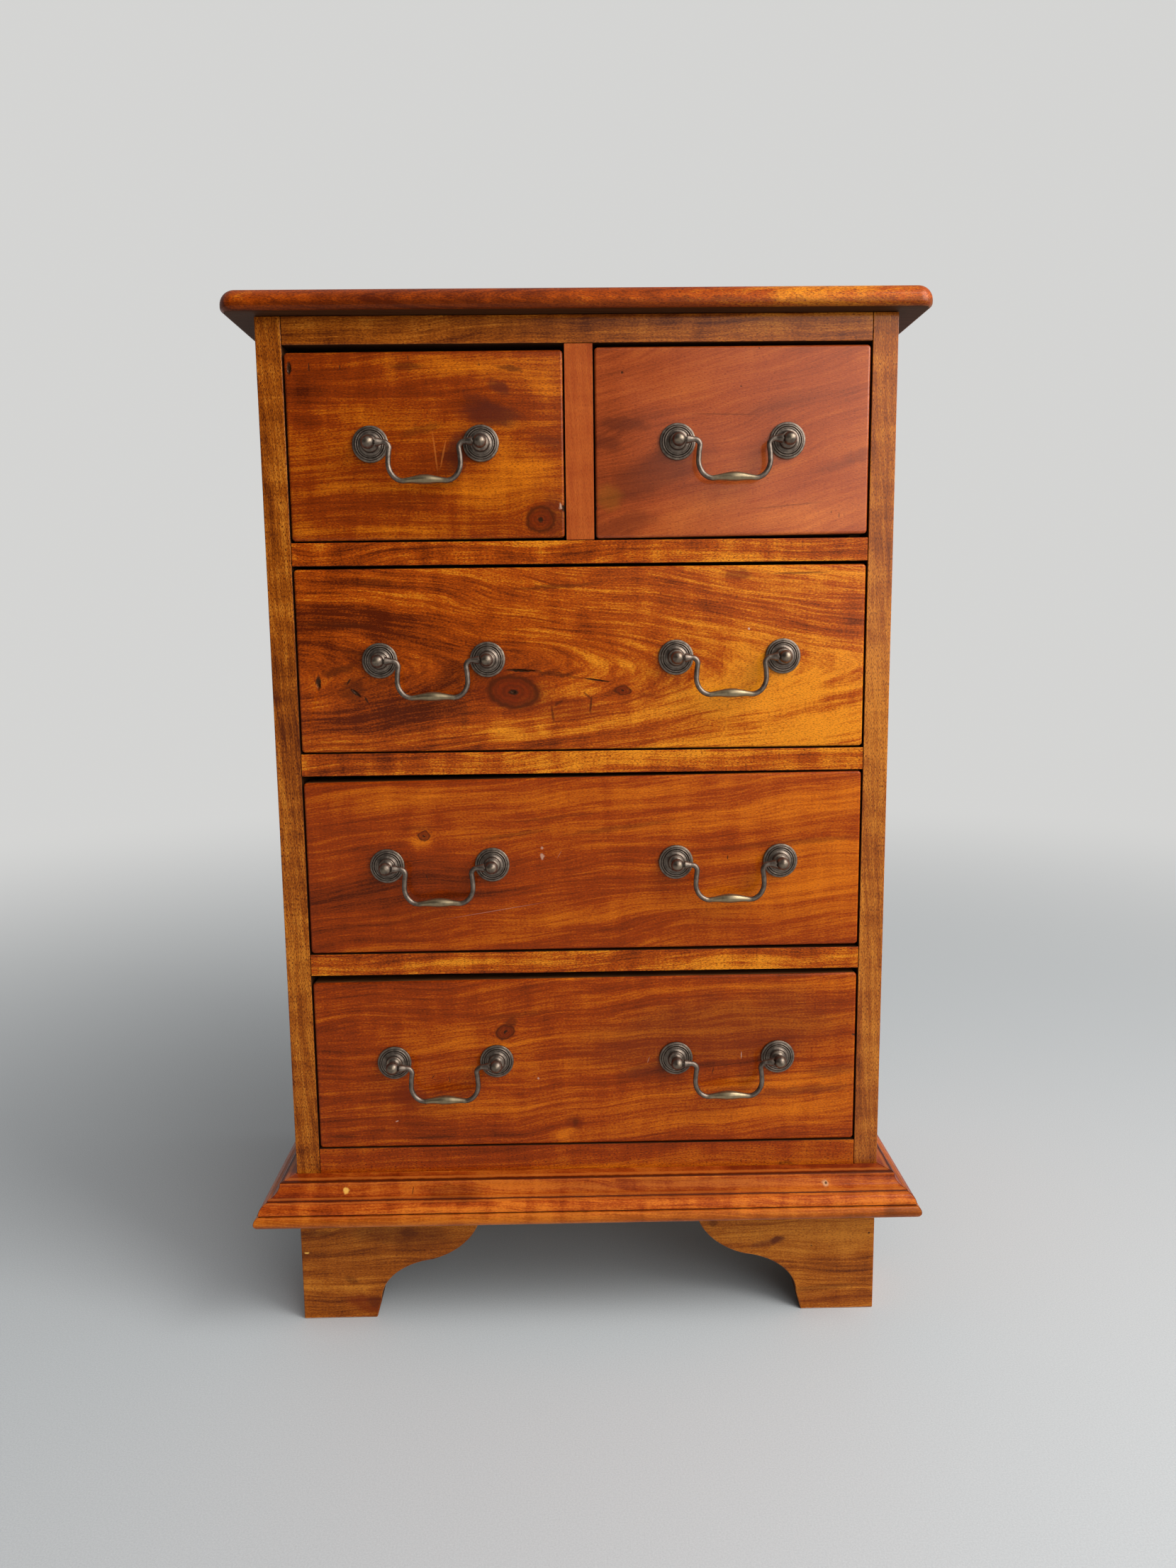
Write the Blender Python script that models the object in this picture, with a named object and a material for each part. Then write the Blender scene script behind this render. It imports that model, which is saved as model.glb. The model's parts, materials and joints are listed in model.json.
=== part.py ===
"""A small mahogany chest of drawers: two short drawers over three long ones, on bracket feet.

Metres, +Z up, the floor at z = 0. The drawers face -Y, and +X is to the right of someone who
faces them. x = 0 is the middle of the carcass, and y = 0 is halfway between the front edge of
the base moulding and the back of the carcass.
"""

import math

import bmesh
import bpy
from mathutils import Matrix, Vector

MM = 0.001
GAP = 0.3 * MM  # left between neighbouring pieces

# Heights of the front, from the floor up.
FOOT_HEIGHT = 88 * MM
MOULDING_HEIGHT = 31.5 * MM
BOTTOM_RAIL_FACE = 19 * MM
BOTTOM_OPENING = 135 * MM
OPENING_HEIGHT = 132.5 * MM
RAIL_HEIGHT = 16 * MM
TOP_RAIL_HEIGHT = 19 * MM
TOP_THICKNESS = 15 * MM

# The carcass.
CARCASS_WIDTH = 440 * MM
CARCASS_DEPTH = 330 * MM
SIDE_THICKNESS = 17.5 * MM
DIVIDER_THICKNESS = 19.5 * MM
RAIL_DEPTH = 40 * MM
BOTTOM_RAIL_DEPTH = 22 * MM
DUST_BOARD_THICKNESS = 8 * MM
HOUSING_DEPTH = 4 * MM
BACK_THICKNESS = 6 * MM
BACK_REBATE = 8 * MM

# The top board, with a round-over above and a small rounding below.
TOP_SIDE_OVERHANG = 21 * MM
TOP_FRONT_OVERHANG = 15.4 * MM
TOP_ROUND_OVER = 10 * MM
TOP_LOWER_ROUNDING = 3.5 * MM
TOP_CORNER_RADIUS = 11 * MM

# The base moulding, an ovolo and cove over a nosing.
MOULDING_PROJECTION = 27.5 * MM
NOSING_RADIUS = 4.8 * MM
OVOLO_RADIUS = 8 * MM
COVE_RADIUS = 9 * MM

# The bracket feet, each an ogee cut from a board.
FOOT_INSET = 0.3 * MM
FOOT_THICKNESS = 18 * MM
FOOT_WIDTH = 56 * MM
FOOT_REACH = 138 * MM
FOOT_STEP = 4 * MM  # how far the inner edge leans before the ogee starts
OGEE_START = 15 * MM
OGEE_HOLLOW = (48.6 * MM, 32.5 * MM)  # the radii of its two arcs, along and up
OGEE_SWELL = (56 * MM, 43 * MM)
REAR_BRACE_WIDTH = 66 * MM

# The drawers.
FRONT_THICKNESS = 18 * MM
FRONT_SIDE_GAP = 1.1 * MM
FRONT_CORNER_RADIUS = 2.6 * MM
FRONT_EDGE_ROUNDING = 1.8 * MM
BOX_SIDE_GAP = 1.5 * MM
BOX_THICKNESS = 8 * MM
BOX_DROP = 4 * MM  # how far the sides stop below the front's lower top corner
BOX_BACK_CLEARANCE = 5 * MM
BOTTOM_THICKNESS = 4 * MM
BOTTOM_LIFT = 6 * MM
GROOVE_DEPTH = 3 * MM

# The swan-neck handles. Each post stands on a rosette, and the bail's pins turn in its ball.
POST_SPACING = 76.2 * MM
LONG_DRAWER_HANDLE_X = 105 * MM
ROSETTE_RADIUS = 12.5 * MM
BALL_RADIUS = 4.65 * MM
PIVOT_STANDOFF = 12 * MM
NECK_RADIUS = 3 * MM
SHANK_RADIUS = 2 * MM
SHANK_HOLE_RADIUS = 2.4 * MM
NUT_CORNER_RADIUS = 4.4 * MM
NUT_THICKNESS = 3 * MM
SHANK_TAIL = 1.5 * MM
PIN_RADIUS = 1.2 * MM
PIN_HOLE_RADIUS = 1.55 * MM
KNUCKLE_END = 32.9 * MM
KNUCKLE_RADIUS = 3.05 * MM
PIN_END = 36.4 * MM
PIN_HOLE_FLOOR = 1.3 * MM  # from the middle of the ball
BAIL_DROP = 26 * MM
GRIP_DROP = 25 * MM
GRIP_HALF_LENGTH = 14.5 * MM
GRIP_RADIUS = 3.3 * MM
LEG_RADIUS = 1.8 * MM
LEG_X = 24.7 * MM
LEG_FOOT_DROP = 14 * MM
NECK_X = 23.7 * MM
NECK_BEND_X = 28 * MM
NECK_BEND_DROP = 4.2 * MM
TURNED_SEGMENTS = 12
BAIL_SEGMENTS = 8

# Places worked out from the sizes above.
FRONT_Y = -(CARCASS_DEPTH - MOULDING_PROJECTION) / 2
BACK_Y = FRONT_Y + CARCASS_DEPTH
HALF_WIDTH = CARCASS_WIDTH / 2
INNER_X = HALF_WIDTH - SIDE_THICKNESS
MOULDING_TOP = FOOT_HEIGHT + MOULDING_HEIGHT
BOTTOM_RAIL_TOP = MOULDING_TOP + BOTTOM_RAIL_FACE
LOWER_RAIL_TOP = BOTTOM_RAIL_TOP + BOTTOM_OPENING + RAIL_HEIGHT
MIDDLE_RAIL_TOP = LOWER_RAIL_TOP + OPENING_HEIGHT + RAIL_HEIGHT
UPPER_RAIL_TOP = MIDDLE_RAIL_TOP + OPENING_HEIGHT + RAIL_HEIGHT
TOP_RAIL_BOTTOM = UPPER_RAIL_TOP + OPENING_HEIGHT
CARCASS_TOP = TOP_RAIL_BOTTOM + TOP_RAIL_HEIGHT
INSIDE_BACK_Y = BACK_Y - BACK_THICKNESS - GAP
DIVIDER_X = DIVIDER_THICKNESS / 2

# The drawers: each opening's ends in x, its bottom and its height, and the middles of the
# drawer's handles in x.
SHORT_HANDLE_X = (INNER_X + DIVIDER_X) / 2
LONG_HANDLES = (-LONG_DRAWER_HANDLE_X, LONG_DRAWER_HANDLE_X)
LONG_OPENING = (-INNER_X, INNER_X)
DRAWERS = {
    "top_left_drawer": (
        (-INNER_X, -DIVIDER_X), UPPER_RAIL_TOP, OPENING_HEIGHT, (-SHORT_HANDLE_X,)
    ),
    "top_right_drawer": (
        (DIVIDER_X, INNER_X), UPPER_RAIL_TOP, OPENING_HEIGHT, (SHORT_HANDLE_X,)
    ),
    "upper_drawer": (LONG_OPENING, MIDDLE_RAIL_TOP, OPENING_HEIGHT, LONG_HANDLES),
    "middle_drawer": (LONG_OPENING, LOWER_RAIL_TOP, OPENING_HEIGHT, LONG_HANDLES),
    "bottom_drawer": (LONG_OPENING, BOTTOM_RAIL_TOP, BOTTOM_OPENING, LONG_HANDLES),
}

# The fronts are fitted by hand, so the gaps round them taper: below and above, each at the
# left end and at the right end.
FRONT_GAPS = {
    "top_left_drawer": ((1 * MM, 1.9 * MM), (5 * MM, 4.4 * MM)),
    "top_right_drawer": ((1 * MM, 2.6 * MM), (2.9 * MM, 2.5 * MM)),
    "upper_drawer": ((1 * MM, 1.2 * MM), (2.2 * MM, 2.2 * MM)),
    "middle_drawer": ((1 * MM, 2.2 * MM), (4.7 * MM, 1.1 * MM)),
    "bottom_drawer": ((0.8 * MM, 1.2 * MM), (5.3 * MM, 3.7 * MM)),
}

# Finishes: base colour, roughness and metallic value.
FINISHES = {
    "top_board": ((0.30, 0.12, 0.045), 0.30, 0.0),
    "side_panel": ((0.27, 0.115, 0.040), 0.35, 0.0),
    "rail": ((0.30, 0.115, 0.040), 0.35, 0.0),
    "moulding": ((0.26, 0.080, 0.035), 0.35, 0.0),
    "foot": ((0.27, 0.105, 0.035), 0.40, 0.0),
    "front": ((0.38, 0.125, 0.035), 0.28, 0.0),
    "inside_wood": ((0.45, 0.30, 0.17), 0.65, 0.0),
    "brass": ((0.20, 0.145, 0.085), 0.42, 0.9),
}


def clear_scene():
    for obj in list(bpy.data.objects):
        bpy.data.objects.remove(obj, do_unlink=True)


def paint(obj, finish):
    """Gives the object a material of its own in the named finish."""
    colour, roughness, metallic = FINISHES[finish]
    material = bpy.data.materials.new(obj.name)
    material.use_nodes = True
    shader = material.node_tree.nodes["Principled BSDF"]
    shader.inputs["Base Color"].default_value = (*colour, 1)
    shader.inputs["Roughness"].default_value = roughness
    shader.inputs["Metallic"].default_value = metallic
    obj.data.materials.append(material)


def object_of(name, bm, parent=None):
    """Turns a bmesh into an object, with its faces pointing out."""
    bmesh.ops.recalc_face_normals(bm, faces=bm.faces)
    mesh = bpy.data.meshes.new(name)
    bm.to_mesh(mesh)
    bm.free()
    return linked(name, mesh, parent)


def linked(name, mesh, parent=None):
    obj = bpy.data.objects.new(name, mesh)
    bpy.context.scene.collection.objects.link(obj)
    obj.parent = parent
    return obj


def board(name, x, y, z, parent=None):
    """A square-edged board that fills the ranges x, y and z, with its origin in its middle."""
    low, high = map(Vector, zip(x, y, z))
    bm = bmesh.new()
    bmesh.ops.create_cube(bm, size=1)
    bmesh.ops.scale(bm, vec=high - low, verts=bm.verts)
    obj = object_of(name, bm, parent)
    obj.location = (low + high) / 2
    return obj


def loft(rings):
    """A closed solid skinned over rings of equally many points, with a cap at each end."""
    bm = bmesh.new()
    loops = [[bm.verts.new(point) for point in ring] for ring in rings]
    for lower, upper in zip(loops, loops[1:]):
        for i, vert in enumerate(lower):
            j = (i + 1) % len(lower)
            bm.faces.new((vert, lower[j], upper[j], upper[i]))
    bm.faces.new(reversed(loops[0]))
    bm.faces.new(loops[-1])
    return bm


def arc(centre, radii, start, end, steps):
    """Points on an ellipse's arc from start to end, in degrees, both ends included."""
    turns = [math.radians(start + (end - start) * i / steps) for i in range(steps + 1)]
    return [
        (centre[0] + radii[0] * math.cos(turn), centre[1] + radii[1] * math.sin(turn))
        for turn in turns
    ]


def cylinder(name, radius, depth, matrix, parent=None):
    """A solid cylinder about the Z axis of the matrix."""
    bm = bmesh.new()
    bmesh.ops.create_cone(
        bm,
        cap_ends=True,
        segments=TURNED_SEGMENTS,
        radius1=radius,
        radius2=radius,
        depth=depth,
    )
    obj = object_of(name, bm, parent)
    obj.matrix_local = matrix
    return obj


def combine(obj, other, operation):
    """Cuts a hidden helper from the object, or joins it to the object."""
    other.hide_render = True
    other.display_type = "WIRE"
    modifier = obj.modifiers.new(other.name, "BOOLEAN")
    modifier.operation = operation
    modifier.solver = "EXACT"
    modifier.object = other


def smooth(mesh, angle):
    mesh.shade_smooth()
    mesh.set_sharp_from_angle(angle=math.radians(angle))


# The carcass


def side_panel(name, side, housings):
    """A side board, rebated for the back and housed for each dust board."""
    outline = [
        (HALF_WIDTH, FRONT_Y),
        (INNER_X, FRONT_Y),
        (INNER_X, INSIDE_BACK_Y),
        (INNER_X + BACK_REBATE, INSIDE_BACK_Y),
        (INNER_X + BACK_REBATE, BACK_Y),
        (HALF_WIDTH, BACK_Y),
    ]
    ends = (FOOT_HEIGHT, CARCASS_TOP - GAP)
    panel = object_of(name, loft([[(side * x, y, z) for x, y in outline] for z in ends]))
    paint(panel, "side_panel")
    for number, (top, front) in enumerate(housings, 1):
        cutter = board(
            f"{name}_housing_{number}",
            sorted((side * (INNER_X - HOUSING_DEPTH), side * (INNER_X + HOUSING_DEPTH))),
            (front, BACK_Y),
            (top - DUST_BOARD_THICKNESS - GAP, top + GAP),
        )
        combine(panel, cutter, "DIFFERENCE")


def carcass():
    inside = (-INNER_X + GAP, INNER_X - GAP)
    behind_rail = FRONT_Y + RAIL_DEPTH + GAP
    behind_bottom_rail = FRONT_Y + BOTTOM_RAIL_DEPTH + GAP
    rails = {
        "upper_rail": UPPER_RAIL_TOP,
        "middle_rail": MIDDLE_RAIL_TOP,
        "lower_rail": LOWER_RAIL_TOP,
    }
    rail_depth = (FRONT_Y, FRONT_Y + RAIL_DEPTH)
    for name, top in rails.items():
        paint(board(name, inside, rail_depth, (top - RAIL_HEIGHT, top)), "rail")
    top_rail = board("top_rail", inside, rail_depth, (TOP_RAIL_BOTTOM, CARCASS_TOP - GAP))
    paint(top_rail, "rail")
    bottom_rail = board(
        "bottom_rail",
        inside,
        (FRONT_Y, FRONT_Y + BOTTOM_RAIL_DEPTH),
        (FOOT_HEIGHT, BOTTOM_RAIL_TOP),
    )
    paint(bottom_rail, "rail")
    divider = board(
        "drawer_divider",
        (-DIVIDER_X, DIVIDER_X),
        (FRONT_Y, INSIDE_BACK_Y - GAP),
        (UPPER_RAIL_TOP + GAP, TOP_RAIL_BOTTOM - GAP),
    )
    paint(divider, "rail")

    shelves = {
        "upper_dust_board": (UPPER_RAIL_TOP, behind_rail),
        "middle_dust_board": (MIDDLE_RAIL_TOP, behind_rail),
        "lower_dust_board": (LOWER_RAIL_TOP, behind_rail),
        "bottom_board": (BOTTOM_RAIL_TOP, behind_bottom_rail),
    }
    housed = (-INNER_X - HOUSING_DEPTH + GAP, INNER_X + HOUSING_DEPTH - GAP)
    for name, (top, front) in shelves.items():
        shelf = board(
            name, housed, (front, INSIDE_BACK_Y - GAP), (top - DUST_BOARD_THICKNESS, top)
        )
        paint(shelf, "inside_wood")
    housings = [(top, front - GAP) for top, front in shelves.values()]
    side_panel("left_side_panel", -1, housings)
    side_panel("right_side_panel", 1, housings)
    back_x = INNER_X + BACK_REBATE - GAP
    back = board(
        "back_panel",
        (-back_x, back_x),
        (BACK_Y - BACK_THICKNESS, BACK_Y),
        (FOOT_HEIGHT, CARCASS_TOP - GAP),
    )
    paint(back, "inside_wood")


def top_ring(inset, z):
    """The top board's outline, drawn in by inset at the sides and the front, not at the back."""
    side = HALF_WIDTH + TOP_SIDE_OVERHANG
    front = FRONT_Y - TOP_FRONT_OVERHANG
    radius = TOP_CORNER_RADIUS - inset
    centre_x = side - TOP_CORNER_RADIUS
    centre_y = front + TOP_CORNER_RADIUS
    points = [(side - inset, BACK_Y)]
    points += arc((centre_x, centre_y), (radius, radius), 0, -90, 6)
    points += arc((-centre_x, centre_y), (radius, radius), -90, -180, 6)
    points.append((inset - side, BACK_Y))
    return [(x, y, z) for x, y in points]


def top_board():
    lower = arc(
        (TOP_LOWER_ROUNDING, CARCASS_TOP + TOP_LOWER_ROUNDING),
        (TOP_LOWER_ROUNDING, TOP_LOWER_ROUNDING),
        270,
        180,
        4,
    )
    upper = arc(
        (TOP_ROUND_OVER, CARCASS_TOP + TOP_THICKNESS - TOP_ROUND_OVER),
        (TOP_ROUND_OVER, TOP_ROUND_OVER),
        180,
        90,
        8,
    )
    top = object_of("top_board", loft([top_ring(inset, z) for inset, z in lower + upper]))
    smooth(top.data, 35)
    paint(top, "top_board")


def moulding_profile():
    """The moulding's section as (how far it stands out, height), from the underside up."""
    base = FOOT_HEIGHT
    nosing = (MOULDING_PROJECTION - NOSING_RADIUS, base + NOSING_RADIUS)
    ovolo = (nosing[0] - 6.3 * MM, base + 10.2 * MM)
    cove = (19.8 * MM, base + 28.2 * MM)
    points = [(GAP, base)]
    points += arc(nosing, (NOSING_RADIUS, NOSING_RADIUS), -90, 60, 7)
    points.append((nosing[0] + 0.9 * MM, ovolo[1] - 0.8 * MM))
    points += arc(ovolo, (OVOLO_RADIUS, OVOLO_RADIUS), 0, 68, 5)
    points.append((cove[0] - 1.3 * MM, base + 18.3 * MM))
    points += arc(cove, (COVE_RADIUS, COVE_RADIUS), 262, 180, 6)
    points.append((cove[0] - COVE_RADIUS - 0.6 * MM, base + 29.1 * MM))
    points.append((GAP, MOULDING_TOP))
    return points


def base_moulding():
    """Three lengths round the front and sides, mitred where they meet."""
    profile = moulding_profile()
    mitre_gap = GAP / math.sqrt(2)
    front_ends = [
        [(side * (HALF_WIDTH + out - mitre_gap), FRONT_Y - out, z) for out, z in profile]
        for side in (-1, 1)
    ]
    lengths = {"base_moulding_front": front_ends}
    for name, side in (("base_moulding_left", -1), ("base_moulding_right", 1)):
        lengths[name] = [
            [(side * (HALF_WIDTH + out), FRONT_Y - out + mitre_gap, z) for out, z in profile],
            [(side * (HALF_WIDTH + out), BACK_Y, z) for out, z in profile],
        ]
    for name, ends in lengths.items():
        length = object_of(name, loft(ends))
        smooth(length.data, 25)
        paint(length, "moulding")


def bracket_outline():
    """A bracket's face from its corner inward: a plain foot, then an ogee up to the carcass."""
    top = FOOT_HEIGHT - GAP
    hollow_centre = (FOOT_WIDTH + FOOT_STEP + OGEE_HOLLOW[0], OGEE_START)
    hollow = arc(hollow_centre, OGEE_HOLLOW, 180, 105, 6)
    swell = arc((FOOT_REACH - OGEE_SWELL[0], top), OGEE_SWELL, -75, 0, 7)
    return [(0, 0), (FOOT_WIDTH, 0)] + hollow + swell[1:] + [(0, top)]


def bracket(name, outline, parent, place):
    """A bracket of FOOT_THICKNESS; place turns (along, in, up) into x, y and z."""
    rings = [[place(u, depth, z) for u, z in outline] for depth in (0, FOOT_THICKNESS)]
    return object_of(name, loft(rings), parent)


def foot(name, side, end):
    """An L of two brackets. side is -1 left or 1 right, end is -1 front or 1 back."""
    corner_y = FRONT_Y + FOOT_INSET if end < 0 else BACK_Y - FOOT_INSET
    corner = bpy.data.objects.new(f"{name}_corner", None)
    bpy.context.scene.collection.objects.link(corner)
    corner.location = (side * (HALF_WIDTH - FOOT_INSET), corner_y, 0)
    brace = [
        (0, 0),
        (FOOT_WIDTH, 0),
        (REAR_BRACE_WIDTH, FOOT_HEIGHT - GAP),
        (0, FOOT_HEIGHT - GAP),
    ]
    across = bracket_outline() if end < 0 else brace
    body = bracket(name, bracket_outline(), corner, lambda u, d, z: (-side * d, -end * u, z))
    other = bracket(f"{name}_return", across, corner, lambda u, d, z: (-side * u, -end * d, z))
    combine(body, other, "UNION")
    paint(body, "foot")


# The handles


def post_mesh():
    """A rosette, neck and ball in one turning, with its shank and nut behind, facing -Y.

    The origin is on the drawer front. The ball's blind bore opens towards +X.
    """
    ball_start = math.degrees(math.asin(NECK_RADIUS / BALL_RADIUS))
    ball = arc(
        (0, PIVOT_STANDOFF), (BALL_RADIUS, BALL_RADIUS), ball_start - 90, 90, 6
    )
    nut_front = -FRONT_THICKNESS - GAP
    nut_back = nut_front - NUT_THICKNESS
    behind = [
        (0, nut_back - SHANK_TAIL),
        (SHANK_RADIUS, nut_back - SHANK_TAIL),
        (SHANK_RADIUS, nut_back),
        (NUT_CORNER_RADIUS, nut_back),
        (NUT_CORNER_RADIUS, nut_front),
        (SHANK_RADIUS, nut_front),
        (SHANK_RADIUS, GAP),
    ]
    rosette = [
        (ROSETTE_RADIUS, GAP),
        (ROSETTE_RADIUS, 1.7 * MM),
        (11.8 * MM, 2.3 * MM),
        (6.6 * MM, 3.4 * MM),
        (6 * MM, 4.6 * MM),
        (NECK_RADIUS, 6.4 * MM),
    ]
    bm = bmesh.new()
    verts = [bm.verts.new((radius, -out, 0)) for radius, out in behind + rosette + ball]
    edges = [bm.edges.new(pair) for pair in zip(verts, verts[1:])]
    bmesh.ops.spin(
        bm,
        geom=verts + edges,
        axis=(0, 1, 0),
        cent=(0, 0, 0),
        angle=math.tau,
        steps=TURNED_SEGMENTS,
        use_merge=True,
    )
    bmesh.ops.remove_doubles(bm, verts=bm.verts, dist=1e-6)
    for vert in bm.verts:
        # The nut's ring is pulled in between its six corners, which makes it a hexagon.
        if -vert.co.y < nut_front + GAP / 2 and math.hypot(vert.co.x, vert.co.z) > NECK_RADIUS:
            turn = math.atan2(vert.co.z, vert.co.x) % (math.tau / 6)
            pull = math.cos(math.pi / 6) / math.cos(turn - math.pi / 6)
            vert.co.x *= pull
            vert.co.z *= pull
    post = object_of("post", bm)
    bore_length = 2 * BALL_RADIUS
    bore = cylinder(
        "post_bore",
        PIN_HOLE_RADIUS,
        bore_length,
        Matrix.Translation((PIN_HOLE_FLOOR + bore_length / 2, -PIVOT_STANDOFF, 0))
        @ Matrix.Rotation(math.pi / 2, 4, "Y"),
    )
    combine(post, bore, "DIFFERENCE")
    graph = bpy.context.evaluated_depsgraph_get()
    mesh = bpy.data.meshes.new_from_object(post.evaluated_get(graph))
    mesh.name = "handle_post"
    bpy.data.objects.remove(post)
    bpy.data.objects.remove(bore)
    smooth(mesh, 40)
    return mesh


def bail_path():
    """Half of the bail, from the middle of the grip to the pin's end, as (x, z, radius)."""
    sag = BAIL_DROP - GRIP_DROP
    grip = [
        (share * GRIP_HALF_LENGTH, -GRIP_DROP - sag * share**2, radius)
        for share, radius in ((0, GRIP_RADIUS), (0.5, 3 * MM), (1, 2.25 * MM))
    ]
    lower_bend = arc(
        (GRIP_HALF_LENGTH, -LEG_FOOT_DROP),
        (LEG_X - GRIP_HALF_LENGTH, BAIL_DROP - LEG_FOOT_DROP),
        -90,
        0,
        3,
    )
    upper_bend = arc(
        (NECK_BEND_X, -NECK_BEND_DROP), (NECK_BEND_X - NECK_X, NECK_BEND_DROP), 180, 90, 2
    )
    bends = [(x, z, LEG_RADIUS) for x, z in lower_bend[1:] + upper_bend]
    end = [
        ((NECK_BEND_X + KNUCKLE_END) / 2, 0, 2.8 * MM),
        (KNUCKLE_END, 0, KNUCKLE_RADIUS),
        (KNUCKLE_END, 0, PIN_RADIUS),
        (PIN_END, 0, PIN_RADIUS),
    ]
    return grip + bends + end


def bail_mesh():
    """The swan-neck bail. Its origin is on the pivot's axis, midway between the posts."""
    half = bail_path()
    path = [(-x, z, radius) for x, z, radius in reversed(half[1:])] + half
    rings = []
    for i, (x, z, radius) in enumerate(path):
        before = path[max(i - 1, 0)]
        after = path[min(i + 1, len(path) - 1)]
        along = Vector((after[0] - before[0], 0, after[1] - before[1])).normalized()
        across = along.cross(Vector((0, 1, 0)))
        ring = []
        for k in range(BAIL_SEGMENTS):
            turn = math.tau * k / BAIL_SEGMENTS
            reach = across * math.cos(turn) + Vector((0, 1, 0)) * math.sin(turn)
            ring.append(Vector((x, 0, z)) + radius * reach)
        rings.append(ring)
    bm = loft(rings)
    bmesh.ops.recalc_face_normals(bm, faces=bm.faces)
    mesh = bpy.data.meshes.new("handle_bail")
    bm.to_mesh(mesh)
    bm.free()
    smooth(mesh, 50)
    return mesh


# The drawers


def front_ring(width, bottoms, tops, inset, y):
    """A round-cornered outline in the front's plane, drawn in by inset.

    bottoms and tops are the heights of its lower and upper edges at the left and the right.
    """
    radius = FRONT_CORNER_RADIUS - inset
    right = width / 2 - FRONT_CORNER_RADIUS
    points = []
    for centre, start in (
        ((right, tops[1] - FRONT_CORNER_RADIUS), 0),
        ((-right, tops[0] - FRONT_CORNER_RADIUS), 90),
        ((-right, bottoms[0] + FRONT_CORNER_RADIUS), 180),
        ((right, bottoms[1] + FRONT_CORNER_RADIUS), 270),
    ):
        points += arc(centre, (radius, radius), start, start + 90, 3)
    return [(x, y, z) for x, z in points]


def drawer_front(name, width, bottoms, tops, holes, parent):
    """A front flush with the carcass, its face edges rounded over, bored for its handles."""
    rounding = arc(
        (FRONT_EDGE_ROUNDING, FRONT_EDGE_ROUNDING),
        (FRONT_EDGE_ROUNDING, FRONT_EDGE_ROUNDING),
        270,
        180,
        4,
    )
    steps = rounding + [(0, FRONT_THICKNESS)]
    rings = [front_ring(width, bottoms, tops, inset, y) for inset, y in steps]
    front = object_of(name, loft(rings), parent)
    smooth(front.data, 35)
    paint(front, "front")
    for number, (x, z) in enumerate(holes, 1):
        hole = cylinder(
            f"{name}_hole_{number}",
            SHANK_HOLE_RADIUS,
            2 * FRONT_THICKNESS,
            Matrix.Translation((x, FRONT_THICKNESS / 2, z)) @ Matrix.Rotation(math.pi / 2, 4, "X"),
            parent,
        )
        combine(front, hole, "DIFFERENCE")
    return front


def drawer_box(name, width, top, parent):
    """Two sides and a back, from just above the rail to below the top of the front."""
    outer = width / 2 - BOX_SIDE_GAP
    inner = outer - BOX_THICKNESS
    front = FRONT_THICKNESS + GAP
    back = CARCASS_DEPTH - BACK_THICKNESS - BOX_BACK_CLEARANCE
    outline = [
        (-outer, front),
        (-outer, back),
        (outer, back),
        (outer, front),
        (inner, front),
        (inner, back - BOX_THICKNESS),
        (-inner, back - BOX_THICKNESS),
        (-inner, front),
    ]
    box = object_of(name, loft([[(x, y, z) for x, y in outline] for z in (GAP, top)]), parent)
    paint(box, "inside_wood")
    return box, inner, back - BOX_THICKNESS


def drawer(name, post, bail):
    """A drawer on an empty at the bottom of its opening, with its handles on it."""
    opening_x, opening_z, opening_height, handles = DRAWERS[name]
    middle_x = sum(opening_x) / 2
    opening_width = opening_x[1] - opening_x[0]
    empty = bpy.data.objects.new(name, None)
    bpy.context.scene.collection.objects.link(empty)
    empty.location = (middle_x, FRONT_Y, opening_z)

    pivot_z = opening_height / 2
    handle_x = [x - middle_x for x in handles]
    post_x = [x + side * POST_SPACING / 2 for x in handle_x for side in (-1, 1)]
    holes = [(x, pivot_z) for x in post_x]
    bottoms, gaps_above = FRONT_GAPS[name]
    tops = [opening_height - gap for gap in gaps_above]
    width = opening_width - 2 * FRONT_SIDE_GAP
    front = drawer_front(f"{name}_front", width, bottoms, tops, holes, empty)
    box_top = min(tops) - BOX_DROP
    box, inner, inner_back = drawer_box(f"{name}_box", opening_width, box_top, empty)

    reach = GROOVE_DEPTH - GAP
    bottom_z = (BOTTOM_LIFT, BOTTOM_LIFT + BOTTOM_THICKNESS)
    bottom = board(
        f"{name}_bottom",
        (-inner - reach, inner + reach),
        (FRONT_THICKNESS - reach, inner_back + reach),
        bottom_z,
        empty,
    )
    paint(bottom, "inside_wood")
    groove = board(
        f"{name}_groove",
        (-inner - GROOVE_DEPTH, inner + GROOVE_DEPTH),
        (FRONT_THICKNESS - GROOVE_DEPTH, inner_back + GROOVE_DEPTH),
        (bottom_z[0] - GAP, bottom_z[1] + GAP),
        empty,
    )
    combine(front, groove, "DIFFERENCE")
    combine(box, groove, "DIFFERENCE")

    for number, x in enumerate(post_x, 1):
        fitted = linked(f"{name}_post_{number}", post, empty)
        fitted.location = (x, 0, pivot_z)
        if number % 2 == 0:
            fitted.rotation_euler.y = math.pi
    sides = ("",) if len(handle_x) == 1 else ("left_", "right_")
    for side, x in zip(sides, handle_x):
        hung = linked(f"{name}_{side}bail", bail, empty)
        hung.location = (x, -PIVOT_STANDOFF, pivot_z)


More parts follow.
